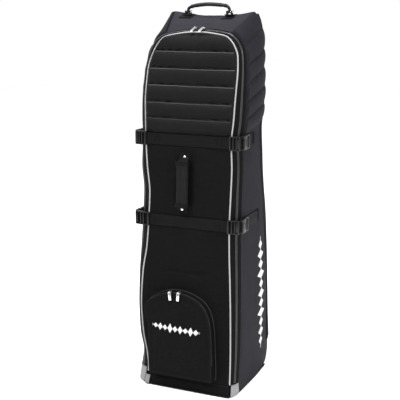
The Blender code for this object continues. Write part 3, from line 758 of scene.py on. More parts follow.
def make_roof():
    uu, ss = np.meshgrid(np.linspace(SEAM_LEFT, SEAM_RIGHT, 90), np.linspace(0.010, 1.0, 64),
                         indexing="ij")
    base = wall_point(uu, ss)
    arch = np.sin(pi * (uu - SEAM_LEFT) / (SEAM_RIGHT - SEAM_LEFT))
    rise = 0.004 * arch ** 0.7 * np.sin(pi * ss) ** 0.7
    rise += 0.0025 * bell(ss, 0.93, 0.05) * arch ** 0.4 - 0.0030 * bell(ss, 0.80, 0.025) * arch ** 0.5
    rise += ripple(base, 14.0, 21, 4) * 0.0035 * arch ** 0.5 * np.sin(pi * ss) ** 0.5
    outer, inner = thick(base, rise[..., None], LINER)
    return settle(grid_solid("shell_roof", outer, inner, [ROOF, LINING]), "shell", "top_panel",
                  slot="top_grey")


def back_grid(rows, cols, low):
    """The back wall, from this height up to the roof's rear edge."""
    index, fine = np.arange(SEAM_LEFT + 1), np.linspace(0, SEAM_LEFT, 800)
    across = np.linspace(0, 1, cols)[None, :]
    crest_x, crest_z = station(np.linspace(SEAM_LEFT, SEAM_RIGHT, 200))[4:6]
    top = np.interp(-0.145 + 0.29 * across, crest_x, crest_z)
    z = low + (top - low) * np.linspace(0, 1, rows)[:, None]
    left, right = [np.interp(z, spline(index, half[:, 5], fine), spline(index, half[:, 4], fine))
                   for half in (LOOP[:SEAM_LEFT + 1], LOOP[SEAM_RIGHT:][::-1])]
    return stack(left + (right - left) * across, back_y(z), z), np.broadcast_to(across, z.shape)


def make_back():
    base, across = back_grid(240, 70, 0.0895)
    z = base[..., 2]
    n = normals(base[:, ::-1])[:, ::-1]
    n = np.where(n[..., 1:2] < 0, -n, n)
    folds = ripple(base * np.array([1, 1, 0.5]), 8.0, 31, 4) * 0.0045
    folds += ripple(base * np.array([1, 1, 0.4]), 26.0, 32) * 0.0012
    channel = sum(bell(base[..., 0], x, 0.004) for x in (-0.075, 0.0, 0.075)) * 0.0022
    rise = (0.0045 + folds) * np.sin(pi * across) ** 0.5
    rise = rise - channel * smooth(0.10, 0.13, z) * smooth(1.21, 1.17, z)
    piece = grid_solid("shell_back", base + n * rise[..., None], base - n * LINER,
                       [BACKING, LINING])
    settle(piece, "shell", "back_panel", slot="shell_black")
    make_back_bands(surface(piece))


def make_back_bands(tree):
    """The two stitched bands of webbing across the back."""
    for k, height in enumerate((0.300, 0.900)):
        band = stack(np.linspace(-0.140, 0.140, 90)[:, None], 0.6,
                     height + np.linspace(-0.0125, 0.0125, 5)[None, :])
        laid = drape(tree, band, (0, -1, 0), 0.0004)
        over = laid + np.array([0, 0.0016, 0])
        settle(grid_solid("back_band_%d" % k, over, laid - np.array([0, 0.0010, 0]), [WEB, WEB]),
               "shell", slot="webbing")
        for j, inset in ((0, 0.0022), (4, -0.0022)):
            make_stitches("back_stitch_%d_%d" % (k, j), "shell",
                          over[:, j] + np.array([0, 0.0002, inset]))


# ---------------------------------------------------------------- flap and zip

def flap_outline(side, count):
    """The front edge from the hinge to the roof seam, evenly spaced: (x, z)."""
    seam = SEAM_LEFT if side == "left" else SEAM_RIGHT
    u = np.linspace(loop_at(side, HINGE_Z + 0.0006), seam, 600)
    edge = np.stack(station(u)[:2], axis=-1)
    run = run_length(edge)
    return read_at(edge, run, np.linspace(0, run[-1], count))


def flap_plan(rows, cols):
    """An (x, z) grid over the flap, its edge drawn in a little under the piping."""
    left, right = flap_outline("left", rows), flap_outline("right", rows)
    top = np.stack(station(np.linspace(SEAM_LEFT, SEAM_RIGHT, cols))[:2], axis=-1)
    c = np.linspace(0, 1, cols)[None, :, None]
    r = np.linspace(0, 1, rows)[:, None, None]
    bottom = left[0] + (right[0] - left[0]) * c[0]
    plan = ((1 - c) * left[:, None] + c * right[:, None] + (1 - r) * bottom + r * top
            - (1 - r) * ((1 - c) * left[0] + c * right[0])
            - r * ((1 - c) * left[-1] + c * right[-1]))
    pull = (np.array([0.005, 0.62]) - plan) * np.array([1.0, 0.25])
    pull /= np.linalg.norm(pull, axis=-1, keepdims=True)
    rim = np.zeros((rows, cols), bool)
    rim[:, [0, -1]] = rim[-1] = True
    plan[rim] += pull[rim] * 0.0016
    return plan


def flap_rise(x, z, side):
    """How far the flap's padded face stands in front of its plane.

    side is 0 at the left and right edges and 1 in the middle.
    """
    points = stack(x, 0 * x, z)
    crown = 0.0085 * side ** 0.7 * smooth(HINGE_Z, 0.16, z) * smooth(1.2095, 1.15, z) ** 0.6
    pads = quilt(z, 0.0115) * smooth(0.0, 0.10, side) * smooth(1.212, 1.195, z)
    pucker = ripple(points * np.array([1.0, 0, 0.25]), 60.0, 41) * seam_near(z) * 0.0020
    folds = ripple(points * np.array([1.0, 1.0, 0.7]), 10.0, 42, 4) * 0.0038
    folds += ripple(points * np.array([0.6, 1.0, 1.6]), 24.0, 43) * 0.0014
    crease = 0.0030 * bell(z, 0.436, 0.010) - 0.0045 * bell(z - 0.40 * (x - 0.02) ** 2, 0.418, 0.007)
    crease = crease * smooth(0.55, 0.2, np.abs(x) / 0.2)
    plain = np.where(z > QUILT_LOW, 0.3, 1.0)
    rise = crown + pads + (pucker + folds * plain + crease) * smooth(0.0, 0.16, side)
    pinch = strap_pinch(z)
    rise = rise * (1 - pinch) + 0.0022 * np.clip(side * 4, 0, 1) * pinch
    behind_grip = bell(x, GRIP_X, 0.034, 4) * bell(z, GRIP_Z, 0.12, 6)
    rise = np.minimum(rise, 0.0075 - 0.0055 * behind_grip + 0.0140 * (z > QUILT_LOW))
    hem = smooth(HINGE_Z + 0.004, HINGE_Z + 0.045, z)
    return rise * hem + 0.0004 * (1 - hem)


def make_flap_face():
    rows, cols = 300, 84
    plan = flap_plan(rows, cols)
    share = np.linspace(0, 1, cols)
    x, z = plan[..., 0], plan[..., 1]
    rise = flap_rise(x, z, 2 * np.minimum(share, 1 - share)[None, :])
    piece = grid_solid("flap_face", stack(x, front_y(z) - rise, z),
                       stack(x, front_y(z) + 0.0055, z), [FRONT, LINING])
    piece.data.materials.append(QUILT)
    for face in piece.data.polygons:
        if face.material_index == 0 and face.center.z > QUILT_LOW:
            face.material_index = 2
    return settle(piece, "flap", "flap_panel", slot="flap_black")


def make_quilt_seams(face):
    """The pinched fold along the top edge of each quilted channel, coloured light as a painted
    highlight, and its stitches.
    """
    tree = surface(face)
    left, right = flap_outline("left", 300), flap_outline("right", 300)
    folds = (0.0004, 0.0004, 0.0007, 0.0010, 0.0010, 0.0010)
    for k, (height, radius) in enumerate(zip((QUILT_LOW, *SEAMS), folds)):
        x = np.linspace(np.interp(height, left[:, 1], left[:, 0]) + 0.0075,
                        np.interp(height, right[:, 1], right[:, 0]) - 0.0075, 140)
        z = height - 0.0042 + ripple(stack(x, 0, k), 26.0, 47) * 0.0009
        laid = drape(tree, stack(x, -0.5, z), (0, 1, 0), -0.0002)
        # The folds take the light fold colour: a painted highlight along each quilting line.
        settle(sweep("quilt_fold_highlight_%d" % k, laid, radius, FOLD_HIGHLIGHT, 6), "flap", slot="flap_black")
        laid = drape(tree, stack(x, -0.5, height), (0, 1, 0), 0.0002)
        make_stitches("quilt_stitch_%d" % k, "flap", laid, 0.0034)


def make_pipings():
    u = loop_path(HINGE_Z + 0.004, HINGE_Z + 0.004, 420)
    path = band_point(u, 0.0)
    settle(sweep("silver_piping", path, 0.0026, PIPING, 10), "flap", "flap_piping",
           slot="silver_piping")
    flange = np.stack([band_point(u, 0.0006), band_point(u, 0.0052)], axis=1)
    outer, inner = thick(flange, 0.0009, 0.0002)
    settle(grid_solid("piping_flange", outer, inner, [TAPE, TAPE]), "flap", slot="zip")
    u = loop_path(PATCH_TOP["left"] + 0.001, PATCH_TOP["right"] + 0.001, 420)
    settle(sweep("dark_piping", band_point(u, BAND), 0.0021, CORD, 8), "shell", "body_piping",
           slot="dark_piping")


def make_zip():
    u = loop_path(PATCH_TOP["left"] + 0.0012, PATCH_TOP["right"] + 0.0012, 420)
    for name, first, last, part in (("flap", 0.0034, SPLIT - 0.0004, "flap"),
                                    ("shell", SPLIT + 0.0004, BAND - 0.0014, "body")):
        outer, inner = thick(band_point(*np.meshgrid(u, np.linspace(first, last, 6),
                                                     indexing="ij")), 0.0, 0.0013)
        settle(grid_solid(name + "_tape", outer, inner, [TAPE, TAPE]), name, part + "_zip_tape",
               slot="zip")
    make_coil("flap_coil", "flap", -1, "flap_zip_teeth")
    make_coil("shell_coil", "shell", 1, "body_zip_teeth")


def make_coil(name, body, sign, node):
    """One side of the coil zip: a bead of close turns along the tape's edge."""
    dense = loop_path(PATCH_TOP["left"] + 0.002, PATCH_TOP["right"] + 0.002, 3000)
    run = run_length(band_point(dense, SPLIT))
    pitch = 0.0034
    u = np.interp(np.arange(0, run[-1] - pitch, pitch), run, dense)
    profile = np.array([(0.0005, 0.0000), (0.0005, 0.0010), (0.0014, 0.0017), (0.0027, 0.0014),
                        (0.0031, 0.0003)])
    sides = len(profile)
    verts, faces = [], []
    for place in u:
        grid = np.stack([band_point(place, SPLIT + sign * d) for d in profile[:, 0]])
        ahead = band_point(min(place + 0.01, u[-1] + 0.01), SPLIT) - band_point(place, SPLIT)
        ahead /= np.linalg.norm(ahead)
        out = np.cross(ahead, (0, 1, 0))
        ring = grid + out / np.linalg.norm(out) * profile[:, 1:]
        first = len(verts)
        verts += list(ring - ahead * 0.36 * pitch) + list(ring + ahead * 0.36 * pitch)
        a = first + np.arange(sides)
        b = first + (np.arange(sides) + 1) % sides
        faces += [tuple(f) for f in np.stack([a, b, b + sides, a + sides], axis=1).tolist()]
        faces += [tuple(a[::-1].tolist()), tuple((a + sides).tolist())]
    # The coil takes the grey coil colour, a painted highlight along the meeting line.
    piece = outward(add_object(name, verts, faces, [COIL_HIGHLIGHT], rounded=False))
    return settle(piece, body, node, slot="zip_teeth")


# ---------------------------------------------------------------- straps and buckles

def make_front_webbing(row):
    z = STRAP_Z[row]
    plane = front_y(z)
    ends = {}
    for side, sign in SIGN.items():
        u = loop_at(side, z)
        edge, wall = band_point(u, 0.0)[0], band_point(u, BAND)[0]
        reach = wall + sign * (BUCKLE_OFF[side] + 0.0085)
        ends[side] = [(reach, 0.0045), (reach - sign * 0.003, 0.0005),
                      (edge + sign * 0.009, -0.0042), (edge - sign * 0.004, -0.0056),
                      (edge - sign * 0.020, -0.0048)]
        make_ladder("%s_%s" % (row, side), sign, ends[side], z)
    route = ends["left"] + [(-0.09, -0.0056), (-0.03, -0.0054), (0.03, -0.0056), (0.09, -0.0054)]
    flat = resample(route + ends["right"][::-1], 0.004)
    path = stack(flat[:, 0], plane + flat[:, 1], np.full(len(flat), z))
    lean = np.array([0, FRONT_LEAN, 1.0]) * STRAP_WIDTH
    piece = ribbon("front_strap_" + row, path, lean, 0.0018, WEB)
    settle(piece, "flap", "front_webbing_" + row, slot="webbing")
    for side, sign in SIGN.items():
        for k in range(2):
            bartack("strap_tack_%s_%s_%d" % (row, side[0], k), "flap",
                    (sign * (0.118 - 0.014 * k), plane - 0.0072, z), (0, 0, 1), (0, -1, 0),
                    STRAP_WIDTH * 0.8)


def make_ladder(label, sign, path, z):
    """The slotted plate that takes up the strap where it turns the front corner."""
    first, last = Vector((*path[1], 0)), Vector((*path[3], 0))
    along = (first - last).normalized()
    centre = (first + last) / 2
    plane = float(front_y(z))
    turn = Matrix.Identity(4)
    turn.col[0][:3] = (along.x, along.y, 0)
    turn.col[1][:3] = (-along.y * sign, along.x * sign, 0)
    place = Matrix.Translation((centre.x, plane + centre.y, z)) @ turn
    half = (first - last).length / 2 + 0.001
    plate = Block().pair((-half, -0.0058, 0.0194), (half, 0.0016, 0.0232), 0.0012)
    for x, width, high in ((-half, 0.0058, 0.0060), (-0.0068, 0.0042, 0.0060),
                           (0.0036, 0.0042, 0.0060), (half - 0.0052, 0.0052, 0.0068)):
        plate.box((x, -high, -0.0205), (x + width, -0.0026, 0.0205), 0.0011)
    plate.box((half - 0.0100, -0.0078, -0.0150), (half - 0.0006, -0.0040, 0.0150), 0.0013)
    settle(plate.done("ladder_lock_" + label, BUCKLE, place), "flap", slot="buckle")


def make_side_strap(row, side):
    z, reach, sign = STRAP_Z[row], SIDE_ANCHOR[row], SIGN[side]
    depths = np.linspace(0.005, reach, 30)
    path = np.array([side_at(side, z, d) for d in depths])
    path[:, 0] += sign * 0.0016
    tilt = np.array([side_at(side, z + 0.019, d) - side_at(side, z - 0.019, d) for d in depths])
    name = "side_strap_%s_%s" % (row, side)
    settle(ribbon(name, path, tilt, 0.0018, WEB), "shell", "side_webbing_%s_%s" % (row, side),
           slot="webbing")
    patch = np.array([side_at(side, z, d) for d in np.linspace(reach - 0.004, reach + 0.009, 8)])
    patch[:, 0] += sign * 0.0018
    ribbon_up = (side_at(side, z + 0.019, reach) - side_at(side, z - 0.019, reach)) * 1.12
    settle(ribbon(name + "_anchor", patch, ribbon_up, 0.0026, WEB), "shell", slot="webbing")
    for k, d in enumerate((reach - 0.001, reach + 0.006)):
        spot = side_at(side, z, d)
        spot[0] += sign * 0.0034
        bartack("%s_tack_%d" % (name, k), "shell", spot, (0, 0, 1), (sign, 0, 0),
                STRAP_WIDTH * 0.98, 0.0020)
    tail = np.array([side_at(side, z, d) for d in (0.030, 0.040, 0.052, 0.064)])
    tail[:, 0] += sign * np.array([0.0118, 0.0085, 0.0055, 0.0045])
    tail[:, 2] += np.array([0.0, -0.001, -0.003, -0.006])
    settle(ribbon(name + "_tail", resample(tail, 0.003), tilt[0] * 0.97, 0.0016, WEB),
           "buckle_prongs_%s_%s" % (row, side), slot="webbing")


def make_buckle(row, side):
    z, label = STRAP_Z[row], "%s_%s" % (row, side)
    x, y, _ = band_point(loop_at(side, z), BAND)
    place = Matrix.Translation((x, y, z)) @ Matrix.Scale(SIGN[side], 4, (1, 0, 0))
    off = BUCKLE_OFF[side] + 0.003
    top = off + 0.012
    body = Block()
    for a, b in ((off, off + 0.0024), (top - 0.0026, top)):
        body.box((a, -0.0225, -0.0228), (b, 0.0008, 0.0228), 0.0007)
    body.pair((off + 0.0006, -0.0085, 0.0192), (top - 0.0006, 0.0006, 0.0228), 0.0009)
    body.pair((off + 0.0004, -0.0285, 0.0165), (top - 0.0004, -0.0205, 0.0228), 0.0016)
    body.box((off, -0.0310, -0.0200), (off + 0.0040, -0.0270, 0.0200), 0.0012)
    body.box((off + 0.0008, -0.0238, -0.0200), (top - 0.0008, -0.0205, 0.0200), 0.0009)
    body.box((top - 0.0012, -0.0185, -0.0150), (top + 0.0006, -0.0105, 0.0150), 0.0006)
    for y in (-0.0078, -0.0054, -0.0030):
        body.box((top - 0.0012, y, -0.0125), (top + 0.0005, y + 0.0011, 0.0125), 0.0004)
    settle(body.done("buckle_%s_socket" % label, BUCKLE, place), "flap", "buckle_female_" + label,
           slot="buckle")
    low, high = off + 0.0012, top - 0.0018
    prongs = Block()
    prongs.pair((low, 0.0036, 0.0192), (high, 0.0296, 0.0232), 0.0011)
    prongs.pair((low + 0.0022, -0.0165, 0.0118), (high - 0.0022, 0.0050, 0.0180), 0.0010)
    prongs.pair((low + 0.0018, -0.0196, 0.0140), (high - 0.0018, -0.0128, 0.0206), 0.0014)
    for y, width in ((0.0036, 0.0058), (0.0150, 0.0034), (0.0254, 0.0042)):
        prongs.box((low + 0.0008, y, -0.0200), (high - 0.0006, y + width, 0.0200), 0.0010)
    prongs.box((low + 0.0026, -0.0135, -0.0030), (high - 0.0026, 0.0050, 0.0030), 0.0009)
    settle(prongs.done("buckle_%s_prongs" % label, BUCKLE, place), "buckle_prongs_" + label,
           "buckle_male_" + label, slot="buckle")


# ---------------------------------------------------------------- front handle

def squarish(count, half, power):
    """A ring of (x, y) whose shape is between an ellipse and a rectangle."""
    angle = np.linspace(0, 2 * pi, count, endpoint=False)
    wave = np.stack([np.cos(angle), np.sin(angle)], axis=-1)
    return np.sign(wave) * np.abs(wave) ** power * half


def padded_tube(name, centre, half, low, high, finish):
    """An upright padded sleeve with a squarish section, folded lengthways in front."""
    t = np.linspace(0, 1, 64)
    z = low + (high - low) * t
    ring = squarish(120, half, 0.45)
    front = ring[:, 1:] < 0
    for place, width, depth in ((-0.0042, 0.0016, 0.0042), (0.0092, 0.0012, 0.0020)):
        ring = ring + front * bell(ring[:, :1], place, width) * depth * np.array([0.0, 1.0])
    ends = np.clip(np.minimum(t, 1 - t) / 0.02, 0.30, 1) ** 0.35
    size = (ends * (0.97 + 0.03 * np.sin(pi * 5 * t) ** 2))[:, None, None]
    steps = len(ring)
    verts = np.concatenate([ring[None] * size, np.zeros((len(t), steps, 1))], axis=-1)
    verts += stack(centre[0], centre[1] + front_y(z) - front_y(GRIP_Z), z)[:, None]
    faces = [(i * steps + j, i * steps + (j + 1) % steps, (i + 1) * steps + (j + 1) % steps,
              (i + 1) * steps + j) for i in range(len(t) - 1) for j in range(steps)]
    faces += [tuple(range(steps)), tuple(range((len(t) - 1) * steps, len(t) * steps))]
    return outward(add_object(name, verts.reshape(-1, 3), faces, [finish]))


def band_round(name, centre, half, z, height, finish):
    """A strip of webbing sewn round the grip."""
    ring = squarish(56, half, 0.62)[:, None]
    level = (z + np.linspace(-0.5, 0.5, 5) * height)[None, :]
    grid = stack(centre[0] + ring[..., 0], centre[1] + front_y(level) - front_y(GRIP_Z)
                 + ring[..., 1], level)
    out = (grid - np.array([*centre, 0])) * np.array([1, 1, 0])
    out /= np.linalg.norm(out, axis=-1, keepdims=True)
    return grid_solid(name, grid + out * 0.0014, grid - out * 0.0006, [finish, finish],
                      closed=True)


def make_front_handle():
    plane = float(front_y(GRIP_Z))
    centre = (GRIP_X, plane - 0.0200)
    grip = padded_tube("front_grip_pad", centre, (0.0208, 0.0094), 0.643, 0.797, GRIP)
    grip = inflate(grip, cap=0.0012, voxel=0.0018)
    settle(grip, "front_grip", "handle_grip", slot="grip")
    for k, z in enumerate((0.6500, 0.7905)):
        settle(band_round("grip_band_%d" % k, centre, (0.0222, 0.0108), z, 0.0135, WEB),
               "front_grip", slot="webbing")
    seam = [(GRIP_X + 0.0205, centre[1] - 0.004 + float(front_y(z)) - plane, z)
            for z in np.linspace(0.660, 0.780, 50)]
    settle(sweep("grip_seam", np.array(seam), 0.0011, STITCH, 6), "front_grip", slot="webbing")
    for name, end, step in (("lower", 0.649, -1), ("upper", 0.791, 1)):
        rivet_x, rivet_z = RIVETS[name]
        face = float(front_y(rivet_z))
        tip = rivet_z + step * 0.014
        points = [(rivet_x, float(front_y(tip)) - 0.0036, tip),
                  (rivet_x, face - 0.0040, rivet_z),
                  (rivet_x * 0.5 + GRIP_X * 0.5, face - 0.0075, rivet_z - step * 0.006),
                  (GRIP_X, float(front_y(end)) - 0.0150, end + step * 0.005),
                  (GRIP_X, float(front_y(end)) - 0.0185, end - step * 0.006)]
        tab = ribbon("grip_webbing_" + name, resample(points, 0.002), (0.034, 0, 0), 0.0019, WEB)
        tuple(points[1])
        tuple(points[3])
        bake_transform(tab)
        settle(dome("rivet_" + name, (rivet_x, face - 0.0050, rivet_z), 0.0047, 0.0022, CHROME),
               "flap", "handle_rivet_" + name, slot="steel")
        settle(dome("rivet_ring_" + name, (rivet_x, face - 0.0046, rivet_z), 0.0064, 0.0006,
                    MOULD), "flap", slot="steel")
        for k in (-1, 1):
            bartack("grip_tack_%s_%d" % (name, k), "flap",
                    (rivet_x, float(front_y(tip)) - 0.0050, tip - step * (0.002 + 0.004 * (k > 0))),
                    (1, 0, 0), (0, -1, 0), 0.022, 0.0014)


# ---------------------------------------------------------------- pocket

def pocket_rim(spacing=0.003):
    """The pocket's outline as an evenly spaced ring of (x, z), clockwise from the front."""
    cx, cz, radius = POCKET_ARC
    points = [(-0.1165, POCKET_LOW + 0.0010), (-0.1185, 0.082), (-0.120, 0.150), (-0.1215, 0.228),
              (-0.131, 0.260), (-0.1350, 0.286), (-0.1275, 0.310)]
    for degrees in np.linspace(-34, 36, 9):
        points.append((cx + radius * sin(radians(degrees)), cz + radius * cos(radians(degrees))))
    points += [(0.089, 0.298), (0.101, 0.262), (0.1065, 0.220), (0.109, 0.181), (0.112, 0.110),
               (0.1125, POCKET_LOW + 0.0010)]
    foot = [points[-1], (0.06, POCKET_LOW), (0.0, POCKET_LOW), (-0.06, POCKET_LOW), points[0]]
    return np.concatenate([resample(points, spacing)[:-1], resample(foot, spacing)[:-1]])


def ring_normals(ring):
    """The outward directions of a ring of (x, z)."""
    step = np.roll(ring, -1, axis=0) - np.roll(ring, 1, axis=0)
    n = np.stack([-step[:, 1], step[:, 0]], axis=-1)
    return n / np.linalg.norm(n, axis=1, keepdims=True)


def pocket_ring(ring, depths, swell):
    """The pocket's wall: ring points carried forward, with a swelling outwards."""
    moved = ring[:, None] + ring_normals(ring)[:, None] * np.asarray(swell)[None, :, None]
    x, z = moved[..., 0], moved[..., 1]
    return stack(x, front_y(z) - depths, z)


def from_middle(points):
    """Unit directions from the pocket's middle to these (x, z) points."""
    n = points - np.array([-0.010, 0.17])
    return n / np.linalg.norm(n, axis=1, keepdims=True)


def make_pocket(face):
    ring = pocket_rim()
    depths = np.linspace(0.0006, 0.0338, 12)
    wave = 0.0012 * np.sin(pi * (depths / POCKET_DEPTH)) + 0.0002
    outer = pocket_ring(ring, depths, wave)
    outer[..., 0] += ripple(outer, 30.0, 51) * 0.0010 * np.sin(pi * depths / POCKET_DEPTH)
    inner = pocket_ring(ring, depths, wave - 0.0026)
    settle(grid_solid("pocket_wall", outer, inner, [FRONT, LINING], closed=True), "flap",
           "pocket_gusset", slot="flap_black")
    make_pocket_zip(ring)
    make_lid(ring)
    piped = ring - ring_normals(ring) * 0.0004
    path = stack(piped[:, 0], front_y(piped[:, 1]) - 0.0357, piped[:, 1])
    settle(sweep("lid_piping", np.concatenate([path, path[:1]]), 0.0015, CORD, 8, (0, 1, 0)),
           "pocket_lid", slot="dark_piping")
    # The welt cord at the pocket's foot is drawn light grey: a painted highlight on the pocket's
    # outline.
    foot = ring + ring_normals(ring) * 0.0034
    path = drape(surface(face), stack(foot[:, 0], -0.5, foot[:, 1]), (0, 1, 0), 0.0003)
    settle(sweep("pocket_welt_cord", np.concatenate([path, path[:1]]), 0.0018, WELT_HIGHLIGHT, 8, (0, 1, 0)),
           "flap", slot="dark_piping")
    base = pocket_ring(ring, np.linspace(-0.0004, 0.0012, 3), (0.0060, 0.0055, 0.0008))
    settle(grid_solid("pocket_welt", base, base + np.array([0, 0.0010, 0]), [FRONT, FRONT],
                      closed=True), "flap", slot="flap_black")


def make_pocket_zip(ring):
    """The zip over the pocket's arch: two tapes with a row of teeth between them."""
    arch = ring[ring[:, 1] > 0.120]
    arch = arch[np.argsort(np.arctan2(arch[:, 0] + 0.010, arch[:, 1] - 0.16))]
    n = from_middle(arch)
    x, z = (arch + n * 0.0010).T
    lift = stack(n[:, 0], 0, n[:, 1])[:, None] * 0.0005
    for name, low, high in (("pocket_tape_a", 0.0222, 0.0304), ("pocket_tape_b", 0.0318, 0.0346)):
        grid = stack(x[:, None], front_y(arch[:, 1])[:, None] - np.linspace(low, high, 4),
                     z[:, None])
        settle(grid_solid(name, grid + lift, grid - lift, [TAPE, TAPE]), "flap", slot="zip")
    teeth = resample(arch, 0.0021)
    out = from_middle(teeth)
    bead = Block()
    for k in range(1, len(teeth) - 1):
        along = teeth[k + 1] - teeth[k - 1]
        along /= np.linalg.norm(along)
        x, z = teeth[k] + out[k] * 0.0014
        place = Matrix.Translation((x, float(front_y(teeth[k][1])) - 0.0311, z))
        turn = Matrix.Identity(4)
        turn.col[0][:3] = (along[0], 0, along[1])
        turn.col[2][:3] = (out[k][0], 0, out[k][1])
        bead.box((-0.00065, -0.0022, -0.0005), (0.00065, 0.0022, 0.0005), 0, place @ turn)
    # The pocket's coil shares that grey colour, a painted highlight.
    settle(bead.done("pocket_coil", COIL_HIGHLIGHT), "flap", slot="zip_teeth")


def make_lid(ring):
    """The pocket's soft front: rings drawn from its rim to its middle, and crowned."""
    ring = ring - ring_normals(ring) * 0.0009
    shares = (np.linspace(0, 0.985, 44) ** 0.85)[None, :]
    plan = ring[:, None] * (1 - shares[..., None]) + np.array([-0.004, 0.185]) * shares[..., None]
    x, z = plan[..., 0], plan[..., 1]
    points = stack(x, 0, z)
    crown = 0.0368 + 0.0085 * (1 - (1 - np.clip(shares * 1.15, 0, 1)) ** 2.0)
    folds = ripple(points * np.array([1.0, 1.0, 0.8]), 13.0, 61, 4) * 0.0050
    folds += ripple(points * np.array([0.5, 1.0, 1.5]), 34.0, 62) * 0.0014
    channel = 0.0022 * bell(shares, 0.115, 0.016)
    stand = np.maximum(crown + folds * smooth(0.0, 0.16, shares) - channel, 0.0364)
    lid = grid_solid("pocket_front", stack(x, front_y(z) - stand, z),
                     stack(x, front_y(z) - 0.0354, z), [FRONT, LINING], closed=True)
    bm = bmesh.new()
    bm.from_mesh(lid.data)
    bmesh.ops.remove_doubles(bm, verts=bm.verts, dist=0.00002)
    holes = [e for e in bm.edges if e.is_boundary]
    if holes:
        bmesh.ops.holes_fill(bm, edges=holes)
    bmesh.ops.recalc_face_normals(bm, faces=bm.faces)
    bm.to_mesh(lid.data)
    bm.free()
    settle(lid, "pocket_lid", "pocket_lid", slot="flap_black")
    tree = surface(lid)
    seam = pocket_rim(0.004)
    seam = seam - ring_normals(seam) * 0.0105
    hits = drape(tree, stack(seam[:, 0], front_y(seam[:, 1]) - 0.10, seam[:, 1]), (0, 1, 0), 0.0002)
    make_stitches("lid_stitch", "pocket_lid", np.concatenate([hits, hits[:1]]))
    make_motif("pocket_motif", "pocket_lid", tree, (-0.100, 0.236), (0.068, 0.230), 0.034, 9)


# ---------------------------------------------------------------- embroidery

def make_motif(name, body, tree, start, end, width, count, on_side=False):
    """A row of embroidered diamonds of several sizes, joined by a line.

    start and end are (x, z) on the front, or (y, z) on the right side.
    """
    start, end = np.array(start), np.array(end)
    length = np.linalg.norm(end - start)
    along = (end - start) / length
    across = np.array([-along[1], along[0]])
    sizes = (0.50, 0.72, 0.58, 1.00, 0.66, 0.84, 0.54, 0.92, 0.60, 0.76, 0.50)
    inward = (-1, 0, 0) if on_side else (0, 1, 0)

    def lay(flat, lift):
        u, z = flat[..., 0], flat[..., 1]
        spots = stack(0.30, u, z) if on_side else stack(u, front_y(z) - 0.30, z)
        return drape(tree, spots, inward, lift)

    step = length / count
    a, b = np.meshgrid(np.linspace(-1, 1, 9), np.linspace(-1, 1, 9), indexing="ij")
    edge = ((np.abs(a) > 0.99) | (np.abs(b) > 0.99))[..., None]
    for k in range(count):
        flat = (start + along * step * (k + 0.5) + along * ((a + b) / 2)[..., None] * step * 0.46
                + across * ((a - b) / 2)[..., None] * width * sizes[k] / 2)
        outer, inner = lay(flat, 0.0009), lay(flat, -0.0006)
        outer = np.where(edge, outer * 0.45 + inner * 0.55, outer)
        settle(grid_solid("%s_%d" % (name, k), outer, inner, [THREAD, THREAD]), body,
               slot="silver_piping")
    line = start + along * np.linspace(-0.03, 1.03, 120)[:, None] * length
    for mark, shift in (("a", -0.0022), ("b", 0.0022)):
        settle(sweep("%s_line_%s" % (name, mark), lay(line + across * shift, 0.0003), 0.00055,
                     THREAD, 6, tuple(-k for k in inward)), body, slot="silver_piping")


# ---------------------------------------------------------------- sliders

def make_slider(name, x, arc, depth, lift, nose, droop):
    """A cast slider on the arc (x, z, radius) of its zip, and its pull, hanging at an angle."""
    cx, cz, radius = arc
    angle = asin((x - cx) / radius)
    z = cz + radius * cos(angle)
    place = (Matrix.Translation((x, float(front_y(z)) + depth, z)) @ Matrix.Rotation(angle, 4, "Y")
             @ Matrix.Translation((0, 0, lift)))
    body = Block()
    for low, high, bevel in (
            ((-0.0064, -nose, 0.0002), (0.0064, 0.0045, 0.0017), 0.0006),
            ((-0.0060, -nose + 0.0004, 0.0028), (0.0060, 0.0042, 0.0046), 0.0009),
            ((-0.0019, -nose + 0.0010, 0.0010), (0.0019, 0.0012, 0.0034), 0.0005),
            ((-0.0013, -nose + 0.0004, 0.0040), (0.0013, -nose + 0.0018, 0.0058), 0.0005),
            ((-0.0013, 0.0008, 0.0040), (0.0013, 0.0022, 0.0058), 0.0005),
            ((-0.0013, -nose + 0.0004, 0.0052), (0.0013, 0.0022, 0.0064), 0.0005)):
        body.box(low, high, bevel)
    settle(body.done(name + "_body", NICKEL, place), name, name, slot="slider")
    turn = (place @ Matrix.Translation((0, -nose - 0.0012, 0.0035))
            @ Matrix.Rotation(droop, 4, "X"))
    pull = Block().pair((0.0024, -0.0110, -0.0009), (0.0042, 0.0002, 0.0009), 0.0005, axis=0)
    pull.box((-0.0042, -0.0018, -0.0009), (0.0042, 0.0004, 0.0009), 0.0005)
    pull.box((-0.0048, -0.0285, -0.0012), (0.0048, -0.0095, 0.0012), 0.0009)
    pull.box((-0.0034, -0.0268, -0.0016), (0.0034, -0.0118, 0.0016), 0.0006)
    label = name.replace("slider", "pull")
    settle(pull.done(label + "_tab", NICKEL, turn), label, label, slot="slider")


def make_sliders():
    main_arc = (ARC_X, ARC_TOP - ARC_RADIUS + 0.0062, ARC_RADIUS)
    for side, x in zip(SIGN, MAIN_SLIDERS):
        make_slider("main_slider_" + side, x, main_arc, SPLIT, 0.0040, 0.0055, radians(22))
    for side, x in zip(SIGN, POCKET_SLIDERS):
        make_slider("pocket_slider_" + side, x, POCKET_ARC, 0.003 - POCKET_DEPTH, 0.0026, 0.0125,
                    radians(90))


# ---------------------------------------------------------------- top handle

